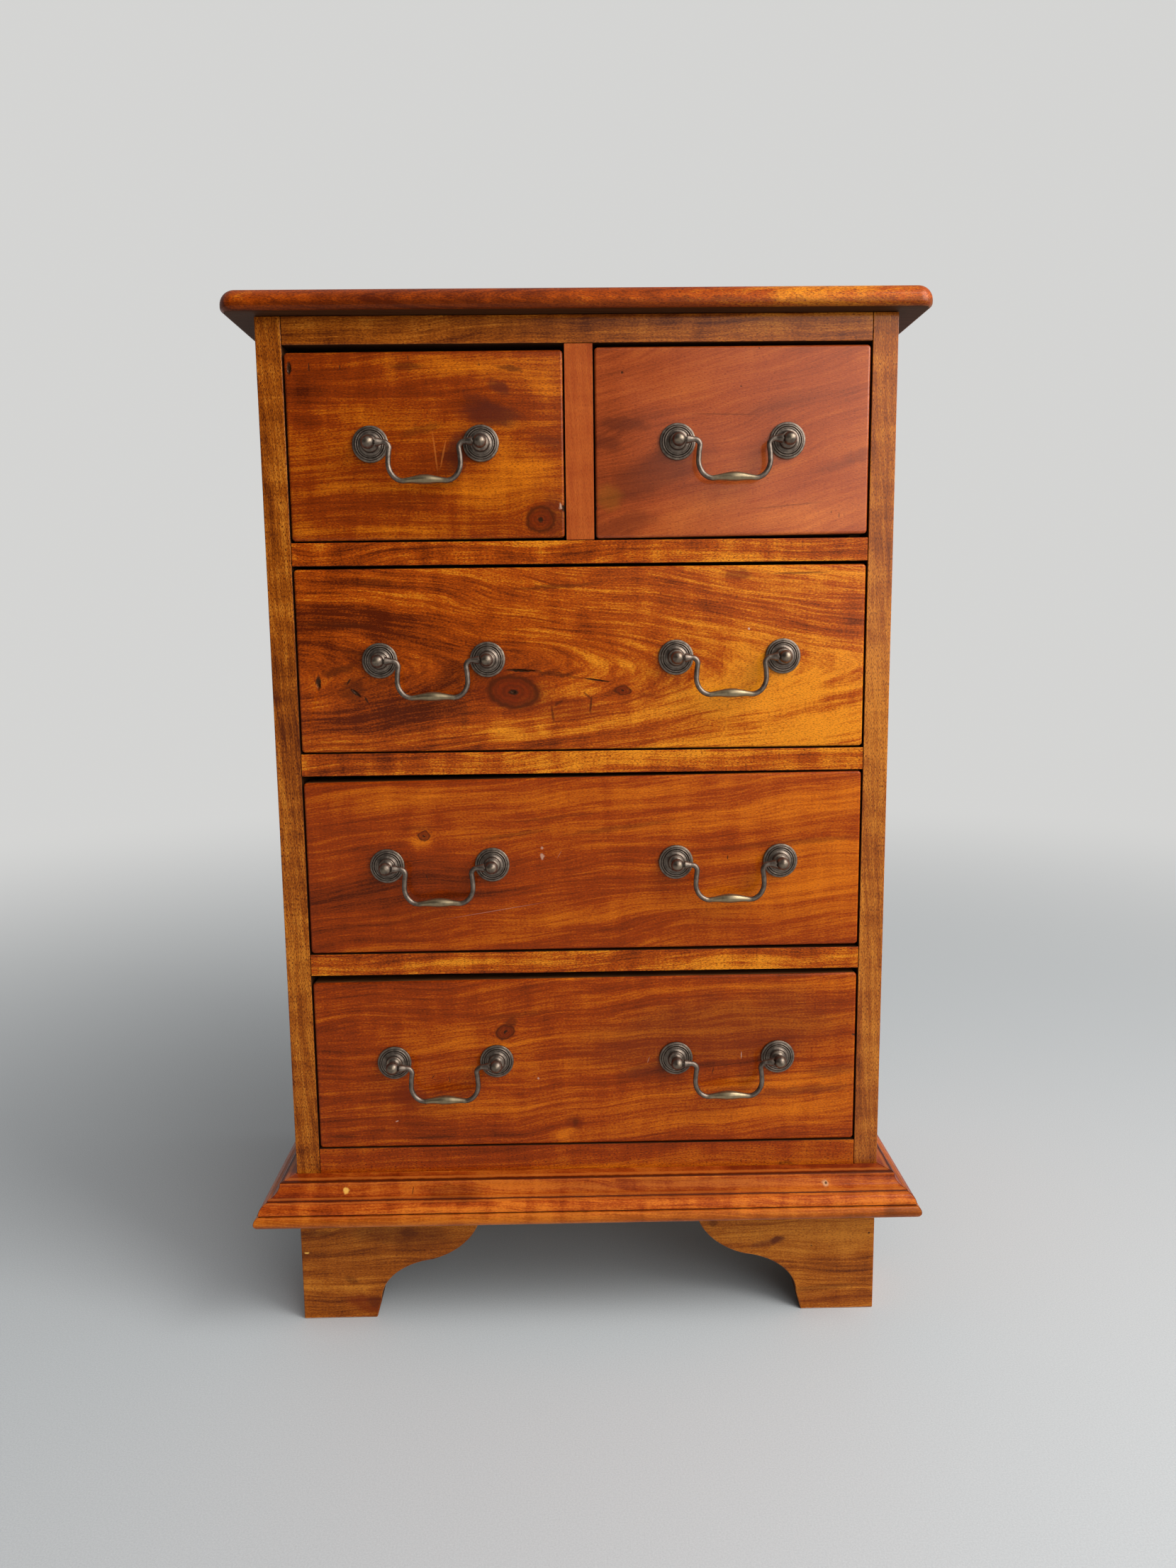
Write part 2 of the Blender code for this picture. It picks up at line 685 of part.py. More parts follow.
def main():
    clear_scene()
    carcass()
    top_board()
    base_moulding()
    foot("front_left_foot", -1, -1)
    foot("front_right_foot", 1, -1)
    foot("back_left_foot", -1, 1)
    foot("back_right_foot", 1, 1)
    post = post_mesh()
    bail = bail_mesh()
    for name in DRAWERS:
        drawer(name, post, bail)
    for mesh, node in ((post, "top_left_drawer_post_1"), (bail, "top_left_drawer_bail")):
        paint(bpy.data.objects[node], "brass")
        mesh.materials[0].name = mesh.name


main()
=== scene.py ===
"""The looks of the small mahogany chest of drawers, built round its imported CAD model."""

import json
import math
from collections import namedtuple

import bmesh
import bpy
from mathutils import Matrix, Vector


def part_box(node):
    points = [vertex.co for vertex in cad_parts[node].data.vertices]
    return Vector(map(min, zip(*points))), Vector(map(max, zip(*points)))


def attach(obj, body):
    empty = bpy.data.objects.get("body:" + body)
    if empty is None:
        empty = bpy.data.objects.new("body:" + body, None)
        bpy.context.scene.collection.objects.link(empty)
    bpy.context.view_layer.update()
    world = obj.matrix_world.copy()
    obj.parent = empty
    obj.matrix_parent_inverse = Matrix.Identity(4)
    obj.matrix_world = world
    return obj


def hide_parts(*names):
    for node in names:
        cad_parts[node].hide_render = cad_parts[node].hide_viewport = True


MM = 0.001

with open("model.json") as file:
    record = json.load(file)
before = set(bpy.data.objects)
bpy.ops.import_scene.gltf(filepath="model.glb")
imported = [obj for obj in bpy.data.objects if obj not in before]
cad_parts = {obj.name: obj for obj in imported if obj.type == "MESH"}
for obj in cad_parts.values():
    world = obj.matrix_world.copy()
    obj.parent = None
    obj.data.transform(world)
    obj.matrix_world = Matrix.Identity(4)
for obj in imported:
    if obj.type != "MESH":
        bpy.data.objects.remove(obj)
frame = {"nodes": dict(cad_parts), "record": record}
bpy.context.view_layer.update()
NODES = frame["nodes"]
BODY_OF = {
    node: body
    for body, members in frame["record"]["behaviour"]["bodies"].items()
    for node in members
}
DRAWERS = (
    "top_left_drawer", "top_right_drawer", "upper_drawer", "middle_drawer", "bottom_drawer"
)

# Places read from the frame.
LEFT_LOW, LEFT_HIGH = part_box("left_side_panel")
FRONT_Y = LEFT_LOW.y
BACK_Y = LEFT_HIGH.y
HALF_WIDTH = -LEFT_LOW.x
FOOT_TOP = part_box("front_left_foot")[1].z
MOULDING_LOW, MOULDING_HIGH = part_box("base_moulding_front")
TOP_LOW, TOP_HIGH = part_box("top_board")

# Sizes of details that the frame's boxes don't give, the same as in the CAD.
GAP = 0.3 * MM
TOP_CORNER_RADIUS = 11 * MM
TOP_LOWER_ROUNDING = 3.5 * MM
TOP_UPPER_ROUNDING = 10 * MM
MITRE_GAP = 0.2 * MM
NOSING_RADIUS = 4.8 * MM
OVOLO_RADIUS = 8 * MM
COVE_RADIUS = 9 * MM
FOOT_WIDTH = 56 * MM
FOOT_THICKNESS = 18 * MM
REAR_BRACE_WIDTH = 66 * MM
FRONT_THICKNESS = 18 * MM
FRONT_CORNER_RADIUS = 2.6 * MM
FRONT_EDGE_ROUNDING = 1.8 * MM
SHANK_HOLE_RADIUS = 2.4 * MM

# The handles' sizes, in mm. Places along x are from the bail's middle.
ROSETTE_RADIUS = 12.5
STANDOFF = 12.0
BALL_RADIUS = 4.65
NECK_RADIUS = 3.0
SHANK_RADIUS = 2.0
NUT_CORNER_RADIUS = 4.4
NUT_FACE = 18.3  # behind the drawer front's face, as are the next two
NUT_BACK = 21.3
SHANK_END = 22.8
PIN_HOLE_RADIUS = 1.55
PIN_HOLE_FLOOR = 1.3  # from the middle of the ball
PIN_RADIUS = 1.2
PIN_END = 36.4
KNUCKLE_RADIUS = 3.05
KNUCKLE_END = 32.9
LEG_RADIUS = 1.8
GRIP_HALF_LENGTH = 14.5
GRIP_DROP = 25
GRIP_END_RADIUS = 1.9
GRIP_SWELL = 1.4


# Mesh helpers


def arc(centre, radii, start, end, steps):
    """Points on an ellipse's arc from start to end, in degrees, both ends included.

    radii is one number for a circle's arc.
    """
    if not isinstance(radii, tuple):
        radii = (radii, radii)
    turns = [math.radians(start + (end - start) * i / steps) for i in range(steps + 1)]
    return [
        (centre[0] + radii[0] * math.cos(turn), centre[1] + radii[1] * math.sin(turn))
        for turn in turns
    ]


def loft(rings):
    """A closed solid skinned over rings of equally many points, with a cap at each end."""
    bm = bmesh.new()
    loops = [[bm.verts.new(point) for point in ring] for ring in rings]
    for lower, upper in zip(loops, loops[1:]):
        for i, vert in enumerate(lower):
            j = (i + 1) % len(lower)
            bm.faces.new((vert, lower[j], upper[j], upper[i]))
    bm.faces.new(reversed(loops[0]))
    bm.faces.new(loops[-1])
    return bm


def mesh_of(bm, name, angle):
    """The bmesh as a mesh, faces out, shaded smooth up to the given angle between faces."""
    bmesh.ops.recalc_face_normals(bm, faces=bm.faces)
    mesh = bpy.data.meshes.new(name)
    bm.to_mesh(mesh)
    bm.free()
    mesh.shade_smooth()
    mesh.set_sharp_from_angle(angle=math.radians(angle))
    return mesh


def linked(name, mesh):
    obj = bpy.data.objects.new(name, mesh)
    bpy.context.scene.collection.objects.link(obj)
    return obj


def stand_in(node, mesh, material):
    """A finer piece that stands for one CAD node, on the same body and with the same slot."""
    obj = linked(f"{node}_fine", mesh)
    obj.data.materials.clear()
    obj.data.materials.append(material)
    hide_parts(node)
    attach(obj, BODY_OF[node])
    return obj


def cutter(name, bm):
    obj = linked(name, mesh_of(bm, name, 30))
    obj.hide_render = True
    obj.display_type = "WIRE"
    return obj


def combined(bm, name, others, operation, angle):
    """The bmesh after a Boolean with each of the other meshes, as a plain mesh."""
    base = linked(name, mesh_of(bm, name, angle))
    helpers = [cutter(f"{name}_helper", other) for other in others]
    for helper in helpers:
        modifier = base.modifiers.new(helper.name, "BOOLEAN")
        modifier.operation = operation
        modifier.solver = "EXACT"
        modifier.object = helper
    bpy.context.view_layer.update()
    graph = bpy.context.evaluated_depsgraph_get()
    mesh = bpy.data.meshes.new_from_object(base.evaluated_get(graph))
    mesh.name = name
    for obj in [base, *helpers]:
        bpy.data.objects.remove(obj)
    mesh.shade_smooth()
    mesh.set_sharp_from_angle(angle=math.radians(angle))
    return mesh


def cylinder(radius, depth, place, axis, segments=32):
    """A cylinder about the place, along the X or the Y axis of the frame."""
    turn = Matrix.Rotation(math.pi / 2, 4, "Y" if axis == "X" else "X")
    matrix = Matrix.Translation(place) @ turn
    bm = bmesh.new()
    bmesh.ops.create_cone(
        bm, cap_ends=True, segments=segments,
        radius1=radius, radius2=radius, depth=depth, matrix=matrix,
    )
    return bm


def block(low, high):
    bm = bmesh.new()
    bmesh.ops.create_cube(bm, size=1)
    bmesh.ops.scale(bm, vec=Vector(high) - Vector(low), verts=bm.verts)
    bmesh.ops.translate(bm, vec=(Vector(low) + Vector(high)) / 2, verts=bm.verts)
    return bm


def eased(obj, width, segments=3):
    """Rounds the object's edges a little, as sanding and wear do."""
    bevel = obj.modifiers.new("eased_edges", "BEVEL")
    bevel.width = width
    bevel.segments = segments
    bevel.limit_method = "ANGLE"
    bevel.angle_limit = math.radians(35)
    bevel.harden_normals = True
    return obj


def eased_cad(node, material):
    """A CAD board as it is, with its corners eased and its finish on it."""
    obj = NODES[node]
    obj.material_slots[0].material = material
    weld = obj.modifiers.new("weld", "WELD")
    weld.merge_threshold = 1e-6
    eased(obj, 0.5 * MM, 2)
    return obj


# Shader helpers

SPECULAR = 0.4
COAT_ROUGHNESS = 0.14


class Nodes:
    """Builds the node tree of a material or a world.

    An input is a number, a tuple or another node's output. A kind goes without its ShaderNode.
    """

    def __init__(self, owner):
        self.owner = owner
        owner.use_nodes = True
        self.tree = owner.node_tree
        self.tree.nodes.clear()

    def add(self, kind, inputs=(), output=0, **settings):
        node = self.tree.nodes.new(f"ShaderNode{kind}")
        for key, value in settings.items():
            setattr(node, key, value)
        pairs = inputs.items() if isinstance(inputs, dict) else enumerate(inputs)
        for key, value in pairs:
            if value is None:
                continue
            if isinstance(value, bpy.types.NodeSocket):
                self.tree.links.new(value, node.inputs[key])
            else:
                node.inputs[key].default_value = value
        return node.outputs[output] if output is not None else node

    def math(self, operation, a, b=None, c=None):
        return self.add("Math", (a, b, c), operation=operation)

    def line(self, value, slope, start):
        """start + slope * value"""
        return self.math("MULTIPLY_ADD", value, slope, start)

    def product(self, *factors):
        result = factors[0]
        for factor in factors[1:]:
            result = self.math("MULTIPLY", result, factor)
        return result

    def vector(self, x, y, z):
        return self.add("CombineXYZ", (x, y, z))

    def vector_math(self, operation, a, b=None, output=0):
        return self.add("VectorMath", (a, b), output=output, operation=operation)

    def object_place(self):
        """The point in the piece's own mesh, which is the frame's metres at rest."""
        return self.add("TexCoord", output=3)

    def scaled(self, place, factor):
        return self.vector_math("MULTIPLY", place, (factor,) * 3)

    def along(self, way, direction):
        """How far a unit vector points along a direction, from -1 to 1 where that is a unit too."""
        return self.vector_math("DOT_PRODUCT", way, direction, output=1)

    def jitter(self, place, period, reach):
        """The place moved about at random across the face, by up to reach each way."""
        settings = {"Vector": self.scaled(place, 1 / period), "Scale": 1.0, "Detail": 1.0}
        colour = self.add("TexNoise", settings, output=1)
        centred = self.vector_math("SUBTRACT", colour, (0.5, 0.5, 0.5))
        moved = self.vector_math("MULTIPLY", centred, (2 * reach, 2 * reach, 0.0))
        return self.vector_math("ADD", place, moved)

    def bell(self, distance, width):
        """1 where the distance is 0, and falling away either side over the width."""
        share = self.math("MULTIPLY", distance, 1 / width)
        squared = self.math("MULTIPLY", share, share)
        return self.math("EXPONENT", self.math("MULTIPLY", squared, -1.0))

    def noise(self, point, detail=2.0, roughness=0.5):
        """Smooth noise about 0.5 with features about one unit of the point across."""
        settings = {"Vector": point, "Scale": 1.0, "Detail": detail, "Roughness": roughness}
        return self.add("TexNoise", settings)

    def step(self, value, low, high):
        """0 at low and beyond, 1 at high and beyond, and smooth between; low may be the greater."""
        start, end = (0.0, 1.0) if low < high else (1.0, 0.0)
        low, high = sorted((low, high))
        settings = {"Value": value, "From Min": low, "From Max": high, "To Min": start, "To Max": end}
        return self.add("MapRange", settings, interpolation_type="SMOOTHSTEP")

    def mix(self, factor, a, b):
        """Colours a and b mixed by factor."""
        a, b = ((*x, 1) if isinstance(x, tuple) else x for x in (a, b))
        return self.add("Mix", {0: factor, 6: a, 7: b}, output=2, data_type="RGBA")

    def blend(self, factor, a, b):
        """Numbers a and b mixed by factor."""
        return self.add("Mix", {0: factor, 2: a, 3: b}, data_type="FLOAT")

    def ramp(self, value, stops):
        """The colour at a value between stops, each a place from 0 to 1 and its colour."""
        node = self.add("ValToRGB", (value,), output=None)
        ramp = node.color_ramp
        while len(ramp.elements) < len(stops):
            ramp.elements.new(0.5)
        for element, (place, colour) in zip(ramp.elements, stops):
            element.position = place
            element.color = (*colour, 1)
        return node.outputs[0]

    def finish(
        self, colour, roughness, metallic, height, bump_mm,
        coat=0.0, tint=(1, 1, 1), specular=SPECULAR,
    ):
        """A Principled shader, its bump worked out from a height in units of bump_mm."""
        bump = self.add("Bump", {"Strength": 1.0, "Distance": bump_mm * MM, "Height": height})
        shader = self.add(
            "BsdfPrincipled",
            {
                "Base Color": colour,
                "Roughness": roughness,
                "Metallic": metallic,
                "Normal": bump,
                "Specular IOR Level": specular,
                "Specular Tint": (*tint, 1),
                "Coat Weight": coat,
                "Coat Roughness": COAT_ROUGHNESS,
            },
        )
        self.add("OutputMaterial", (shader,), output=None)
        return self.owner


# The wood

# Colours of mahogany under old polish: its dark, middle and pale wood.
Tones = namedtuple("Tones", "dark middle pale")
GOLDEN = Tones((0.07, 0.006, 0.0004), (0.36, 0.053, 0.001), (0.70, 0.23, 0.009))
AMBER = Tones((0.05, 0.004, 0.0003), (0.23, 0.028, 0.0006), (0.56, 0.14, 0.003))
ORANGE = Tones((0.06, 0.005, 0.0004), (0.27, 0.031, 0.0006), (0.56, 0.13, 0.003))
ROSY = Tones((0.09, 0.010, 0.003), (0.31, 0.051, 0.009), (0.50, 0.12, 0.018))
MOULDED = Tones((0.14, 0.014, 0.001), (0.37, 0.055, 0.004), (0.62, 0.15, 0.012))
BROWN = Tones((0.07, 0.010, 0.001), (0.29, 0.066, 0.003), (0.52, 0.17, 0.014))
# The next two are unpolished wood darkened past its own colour: painted shade, so that the gaps
# between the parts look black.
RAW_WOOD_AND_GAP_SHADE = Tones((0.018, 0.007, 0.003), (0.04, 0.016, 0.007), (0.08, 0.034, 0.015))
EDGE_WOOD_AND_GAP_SHADE = Tones((0.035, 0.013, 0.005), (0.075, 0.029, 0.011), (0.13, 0.055, 0.022))
LINING = Tones((0.17, 0.085, 0.040), (0.30, 0.17, 0.085), (0.42, 0.27, 0.15))

PURPLE = (0.065, 0.008, 0.004)
DARK = (0.050, 0.006, 0.0008)
RED = (0.13, 0.010, 0.0006)
OLIVE = (0.25, 0.090, 0.005)
PALE = (0.62, 0.42, 0.30)
# Pale worn wood for scratches; on the moulding it is a painted highlight along the quirks' edges.
WORN_AND_HIGHLIGHT = (0.55, 0.15, 0.02)
BLACK = (0.010, 0.004, 0.002)
YELLOW = (0.80, 0.42, 0.08)
TAN = (0.55, 0.30, 0.15)

# Old polish tints what it mirrors.
POLISH_TINT = (1.0, 0.36, 0.12)
POLISH_ROUGHNESS = 0.27
RAW_ROUGHNESS = 0.75
WOOD_BUMP = 0.06  # in mm

FRONT = (0, -1, 0)
LEFT = (-1, 0, 0)
RIGHT = (1, 0, 0)
UP = (0, 0, 1)

# How ragged the outlines of marks are, by the half width up to which each rule holds: the period
# and the reach of the jitter, all in mm.
RAGGEDNESS = ((0.5, 6, 0.12), (0.9, 2.5, 0.4), (3, 4, 1.6), (16, 9, 3.5), (math.inf, 15, 9))
KNOT_RAGGEDNESS = 3
ENDLESS = 1e4  # a half length in mm that runs past both ends of any board

# A mark on a board. at is its middle as shares of the board's length and width, size is half its
# length and half its width in mm, and angle is in degrees. A split's amount is its depth in mm.
Mark = namedtuple("Mark", "kind at size angle amount colour")


def patch(x, y, length, width, amount, angle=0):
    """A soft stretch of paler tone, or darker where the amount is below 0; mostly the wood's figure,
    and on the top rail a painted shadow.
    """
    return Mark("patch", (x, y), (length, width), angle, amount, None)


# Most coloured marks are stains in the wood; the long lines on the moulding and the top board use
# them for painted shade and painted highlights.
def colour_mark(x, y, length, width, colour, amount, angle=0):
    return Mark("colour_mark", (x, y), (length, width), angle, amount, colour)


def knot(x, y, length, width, angle=0):
    return Mark("knot", (x, y), (length, width), angle, 1, None)


def split(x, y, length, width, angle=0, depth=0):
    """A dark crack or chip, which is cut into the mesh where it has a depth."""
    if depth:
        return Mark("split", (x, y), (length, width), angle, depth, BLACK)
    return colour_mark(x, y, length, width, BLACK, 0.9, angle)


def scratch(x, y, length, width, angle=0, amount=0.5):
    return colour_mark(x, y, length, width, PALE, amount, angle)


class Board:
    """One board's solid wood texture, in the box of its CAD node.

    u runs with the grain, v across it on the face that shows, and w into the board, in mm.
    """

    def __init__(self, n, node, along, seed):
        self.n = n
        self.seed = seed
        low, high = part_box(node)
        place = n.add("SeparateXYZ", (n.object_place(),), output=None)
        x, y, z = (n.line(place.outputs[i], 1 / MM, -low[i] / MM) for i in range(3))
        if along == "round a corner":
            normal = n.add("SeparateXYZ", (self.normal(),), output=None)
            sideways = n.step(n.math("ABSOLUTE", normal.outputs[0]), 0.6, 0.7)
            self.u = n.blend(sideways, x, y)
            self.v = z
            self.w = n.blend(sideways, y, x)
            axes = (0, 2, 1)
        else:
            axes = {"x": (0, 2, 1), "y": (1, 2, 0), "z": (2, 0, 1)}[along]
            self.u, self.v, self.w = ((x, y, z)[i] for i in axes)
        self.spans = [(high[i] - low[i]) / MM for i in axes]
        self.flat = n.vector(self.u, self.v, 0.0)
        self.ragged = {
            limit: n.jitter(self.flat, period, reach) for limit, period, reach in RAGGEDNESS
        }

    def normal(self):
        return self.n.add("NewGeometry", output=1)

    def distance(self, mark, place):
        """How far the place is from the middle of a mark, whose outline is at 1."""
        middle = [share * span for share, span in zip(mark.at, self.spans)]
        local = self.n.add(
            "Mapping",
            {
                "Vector": place,
                "Location": (*middle, 0),
                "Rotation": (0, 0, math.radians(mark.angle)),
                "Scale": (*mark.size, 1),
            },
            vector_type="TEXTURE",
        )
        return self.n.vector_math("LENGTH", local, output=1)

    def ragged_distance(self, mark):
        limit = min(key for key in self.ragged if min(mark.size) <= key)
        return self.distance(mark, self.ragged[limit])

    def bend_round(self, mark):
        """Parts the grain round a knot."""
        n = self.n
        middle = mark.at[1] * self.spans[1]
        near = n.bell(self.distance(mark, self.flat), 1.8)
        keep = n.line(near, -0.85, 1.0)
        self.v = n.line(n.math("SUBTRACT", self.v, middle), keep, middle)

    def noise(self, along, across, shift, detail=2.0):
        """Noise drawn out along the grain; along and across are features to the mm."""
        n = self.n
        return n.noise(
            n.vector(
                n.line(self.u, along, self.seed * 7.3 + shift),
                n.line(self.v, across, self.seed * 3.1 + shift),
                n.math("MULTIPLY", self.w, across),
            ),
            detail,
        )

    def lay_rings(self, pith, taper, wave):
        """Growth rings round a pith at v = pith[0], pith[1] behind the face.

        The pith leans out of the board by the taper, and the grain wanders by the wave in mm.
        """
        n = self.n
        wander = n.math("SUBTRACT", self.noise(0.008, 0.02, 1.0, 1.5), 0.5)
        side = n.line(wander, wave, n.math("SUBTRACT", self.v, pith[0]))
        deep = n.math("ADD", self.w, pith[1])
        squares = n.math("ADD", n.product(side, side), n.product(deep, deep))
        self.ring = n.line(self.u, taper, n.math("SQRT", squares))

    def grain(self, along, across, shift, detail):
        """Noise that follows the growth rings."""
        n = self.n
        place = n.vector(
            n.line(self.u, along, self.seed * 11 + shift),
            n.line(self.ring, across, self.seed * 5 + shift),
            n.math("MULTIPLY", self.v, across * 0.1),
        )
        return n.noise(place, detail, 0.6)

    def facing(self, directions):
        """1 on the faces that look one of the given ways and 0 on the others."""
        n = self.n
        result = 0.0
        for direction in directions:
            toward = n.along(self.normal(), direction)
            result = n.math("MAXIMUM", n.step(toward, 0.2, 0.55), result)
        return result


def marked(board, mark, colour, height):
    """The colour and the height of a board with one coloured mark or split on it."""
    n = board.n
    crack_depth = 1.5
    inside = n.step(board.ragged_distance(mark), 1.35, 0.55)
    strength = mark.amount if mark.kind == "colour_mark" else 0.97
    colour = n.mix(n.product(inside, strength), colour, mark.colour)
    if mark.colour == BLACK:
        height = n.line(inside, -crack_depth, height)
    return colour, height


def knotted(board, mark, colour):
    """The colour of a board with one knot on it: red, ringed and outlined, with a black heart."""
    n = board.n
    ring_rate = 19.0  # in radians over the knot's radius, which makes about three rings
    outline_width = 0.17
    distance = board.distance(mark, board.ragged[KNOT_RAGGEDNESS])
    inside = n.step(distance, 1.3, 0.8)
    outline = n.bell(n.math("SUBTRACT", distance, 1.0), outline_width)
    circles = n.line(n.math("SINE", n.product(distance, ring_rate)), 0.5, 0.5)
    shade = n.math("MAXIMUM", n.product(outline, 0.9), n.product(circles, inside, 0.45))
    colour = n.mix(n.product(inside, 0.7), colour, RED)
    colour = n.mix(shade, colour, DARK)
    return n.mix(n.step(distance, 0.28, 0.12), colour, BLACK)


def wood(
    node, tones, seed, along="x", name=None,
    pith=(220.0, 60.0), taper=0.03, wave=26.0,
    contrast=1.0, ripple_and_sheen=0.5, speckle=0.5, sheen=0.15, level_shine=1.0,
    shown=(FRONT,), other_face_tones=RAW_WOOD_AND_GAP_SHADE, marks=(),
):
    """Polished wood on the faces shown, and unpolished tones on the other faces, dark by default as
    painted shade in the gaps.

    level_shine is the share of its shine that a level surface keeps, where dust and use dull it.
    """
    n = Nodes(bpy.data.materials.new(name or f"{node}_wood"))
    board = Board(n, node, along, seed)
    knots = [mark for mark in marks if mark.kind == "knot"]
    for mark in knots:
        board.bend_round(mark)
    board.lay_rings(pith, taper, wave)

    bands = board.grain(0.004, 0.055, 3.0, 2.0)
    rings = board.grain(0.006, 0.28, 17.0, 2.0)
    streaks = board.grain(0.035, 0.9, 29.0, 3.0)
    fibres = board.noise(0.10, 3.0, 5.0, 1.0)
    # shimmer: the cross-grain figure; its weight in the tone paints the figure's chatoyant sheen into
    # the colour as bands of painted highlight, and it also varies the gloss.
    shimmer = board.noise(0.075, 0.022, 41.0)
    flecks = board.noise(0.6, 1.1, 57.0, 2.0)
    pores = n.step(board.noise(0.5, 2.4, 71.0, 1.5), 0.53, 0.62)
    tone = 0.5
    for term, weight in (
        (bands, 1.5), (rings, 1.0), (streaks, 1.1), (fibres, 0.3), (shimmer, ripple_and_sheen), (flecks, 0.9)
    ):
        tone = n.line(n.math("SUBTRACT", term, 0.5), weight * contrast, tone)
    for mark in marks:
        if mark.kind == "patch":
            near = n.bell(board.ragged_distance(mark), 1.0)
            tone = n.line(near, mark.amount, tone)

    colour = n.ramp(tone, list(zip((0.0, 0.5, 0.95), tones)))
    colour = n.mix(n.product(pores, speckle), colour, tones.dark)
    height = n.line(pores, -0.5, n.product(streaks, 0.3))
    for mark in marks:
        if mark.kind in ("colour_mark", "split"):
            colour, height = marked(board, mark, colour, height)
    for mark in knots:
        colour = knotted(board, mark, colour)

    mixed = n.math("ADD", n.product(streaks, 0.6), n.product(rings, 0.4))
    # Colour of the unpolished faces; with the dark default tones this is partly painted shade in the
    # gaps.
    other_face_colour = n.ramp(mixed, list(zip((0.2, 0.5, 0.8), other_face_tones)))
    polished = board.facing(shown)
    colour = n.mix(polished, other_face_colour, colour)
    gloss = n.line(pores, 0.12, n.line(shimmer, 0.16, POLISH_ROUGHNESS))
    roughness = n.blend(polished, RAW_ROUGHNESS, gloss)
    coat = n.product(polished, sheen)
    specular = SPECULAR
    if level_shine < 1:
        shine = n.line(n.step(n.along(board.normal(), UP), 0.7, 0.99), level_shine - 1, 1.0)
        coat = n.product(coat, shine)
        specular = n.product(shine, specular)
    return n.finish(colour, roughness, 0.0, height, WOOD_BUMP, coat, POLISH_TINT, specular)


def lines(node, heights, half_width, colour, amount):
    """Bands that run the whole length of a moulding, at heights in mm above its underside; some are
    painted shade and some painted highlights.
    """
    low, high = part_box(node)
    tall = (high.z - low.z) / MM
    return [colour_mark(0.5, z / tall, ENDLESS, half_width, colour, amount) for z in heights]


TOP_LEFT_MARKS = (
    patch(0.62, 0.92, 62, 9, 0.38, -3),
    patch(0.93, 0.80, 16, 7, 0.25, -20),
    patch(0.06, 0.79, 24, 7, -0.25),
    patch(0.08, 0.63, 18, 4, -0.28),
    patch(0.27, 0.68, 38, 5, 0.15),
    patch(0.84, 0.42, 26, 15, 0.32, -25),
    patch(0.70, 0.20, 24, 10, 0.30, 10),
    patch(0.30, 0.06, 60, 5, 0.22),
    colour_mark(0.44, 0.92, 11, 2.6, DARK, 0.6),
    colour_mark(0.81, 0.905, 9, 2.0, DARK, 0.65, -8),
    colour_mark(0.77, 0.81, 8, 4, PURPLE, 0.7, -25),
    colour_mark(0.74, 0.665, 21, 8, PURPLE, 0.85, -6),
    colour_mark(0.70, 0.74, 13, 4, PURPLE, 0.5, -30),
    colour_mark(0.615, 0.47, 9, 16, PURPLE, 0.8, -16),
    colour_mark(0.95, 0.52, 12, 4, PURPLE, 0.4, -12),
    colour_mark(0.48, 0.585, 15, 3, DARK, 0.45, 12),
    colour_mark(0.55, 0.31, 13, 3, DARK, 0.4, -4),
    colour_mark(0.96, 0.13, 9, 14, PURPLE, 0.55),
    knot(0.912, 0.105, 9, 8.4),
    colour_mark(0.533, 0.47, 13, 0.6, WORN_AND_HIGHLIGHT, 0.45, -84),
    colour_mark(0.562, 0.46, 10, 0.6, WORN_AND_HIGHLIGHT, 0.45, 77),
    split(0.915, 0.10, 4.5, 0.3, -4),
    split(0.997, 0.165, 1.6, 2.4, depth=1.4),
    colour_mark(0.985, 0.175, 1.0, 2.0, PALE, 0.6),
    split(0.018, 0.915, 1.5, 4.2, depth=1.2),
    split(0.09, 0.92, 0.45, 2.8),
    split(0.20, 0.917, 0.4, 1.6),
    split(0.445, 0.965, 0.35, 1.2),
    split(0.70, 0.925, 0.35, 1.0),
)

TOP_RIGHT_MARKS = (
    patch(0.08, 0.5, 30, 60, -0.18),
    colour_mark(0.10, 0.60, 18, 4, PURPLE, 0.5, -3),
    colour_mark(0.04, 0.50, 10, 5, PURPLE, 0.5),
    colour_mark(0.22, 0.34, 42, 12, PURPLE, 0.5, 22),
    colour_mark(0.10, 0.07, 24, 8, PURPLE, 0.4, 15),
    colour_mark(0.05, 0.22, 8.5, 9, OLIVE, 0.3),
    colour_mark(0.88, 0.37, 16, 3, PURPLE, 0.3, 14),
    colour_mark(0.97, 0.43, 12, 4, PURPLE, 0.3, 10),
    colour_mark(0.68, 0.71, 30, 5, PURPLE, 0.2, 14),
    patch(0.36, 0.14, 46, 8, 0.35, 18),
    patch(0.75, 0.10, 45, 11, 0.25, 4),
    patch(0.42, 0.42, 34, 9, 0.18),
    patch(0.25, 0.75, 50, 9, 0.12),
    colour_mark(0.47, 0.647, 24, 0.4, DARK, 0.5, -1),
    colour_mark(0.70, 0.165, 26, 0.6, DARK, 0.35, 5),
    split(0.10, 0.865, 0.9, 0.9),
    split(0.53, 0.79, 0.6, 0.5),
    split(0.595, 0.985, 0.5, 0.5),
    split(0.895, 0.11, 0.3, 1.8),
    split(0.865, 0.13, 0.25, 1.0),
    split(0.0, 0.16, 0.9, 1.3, depth=0.9),
)

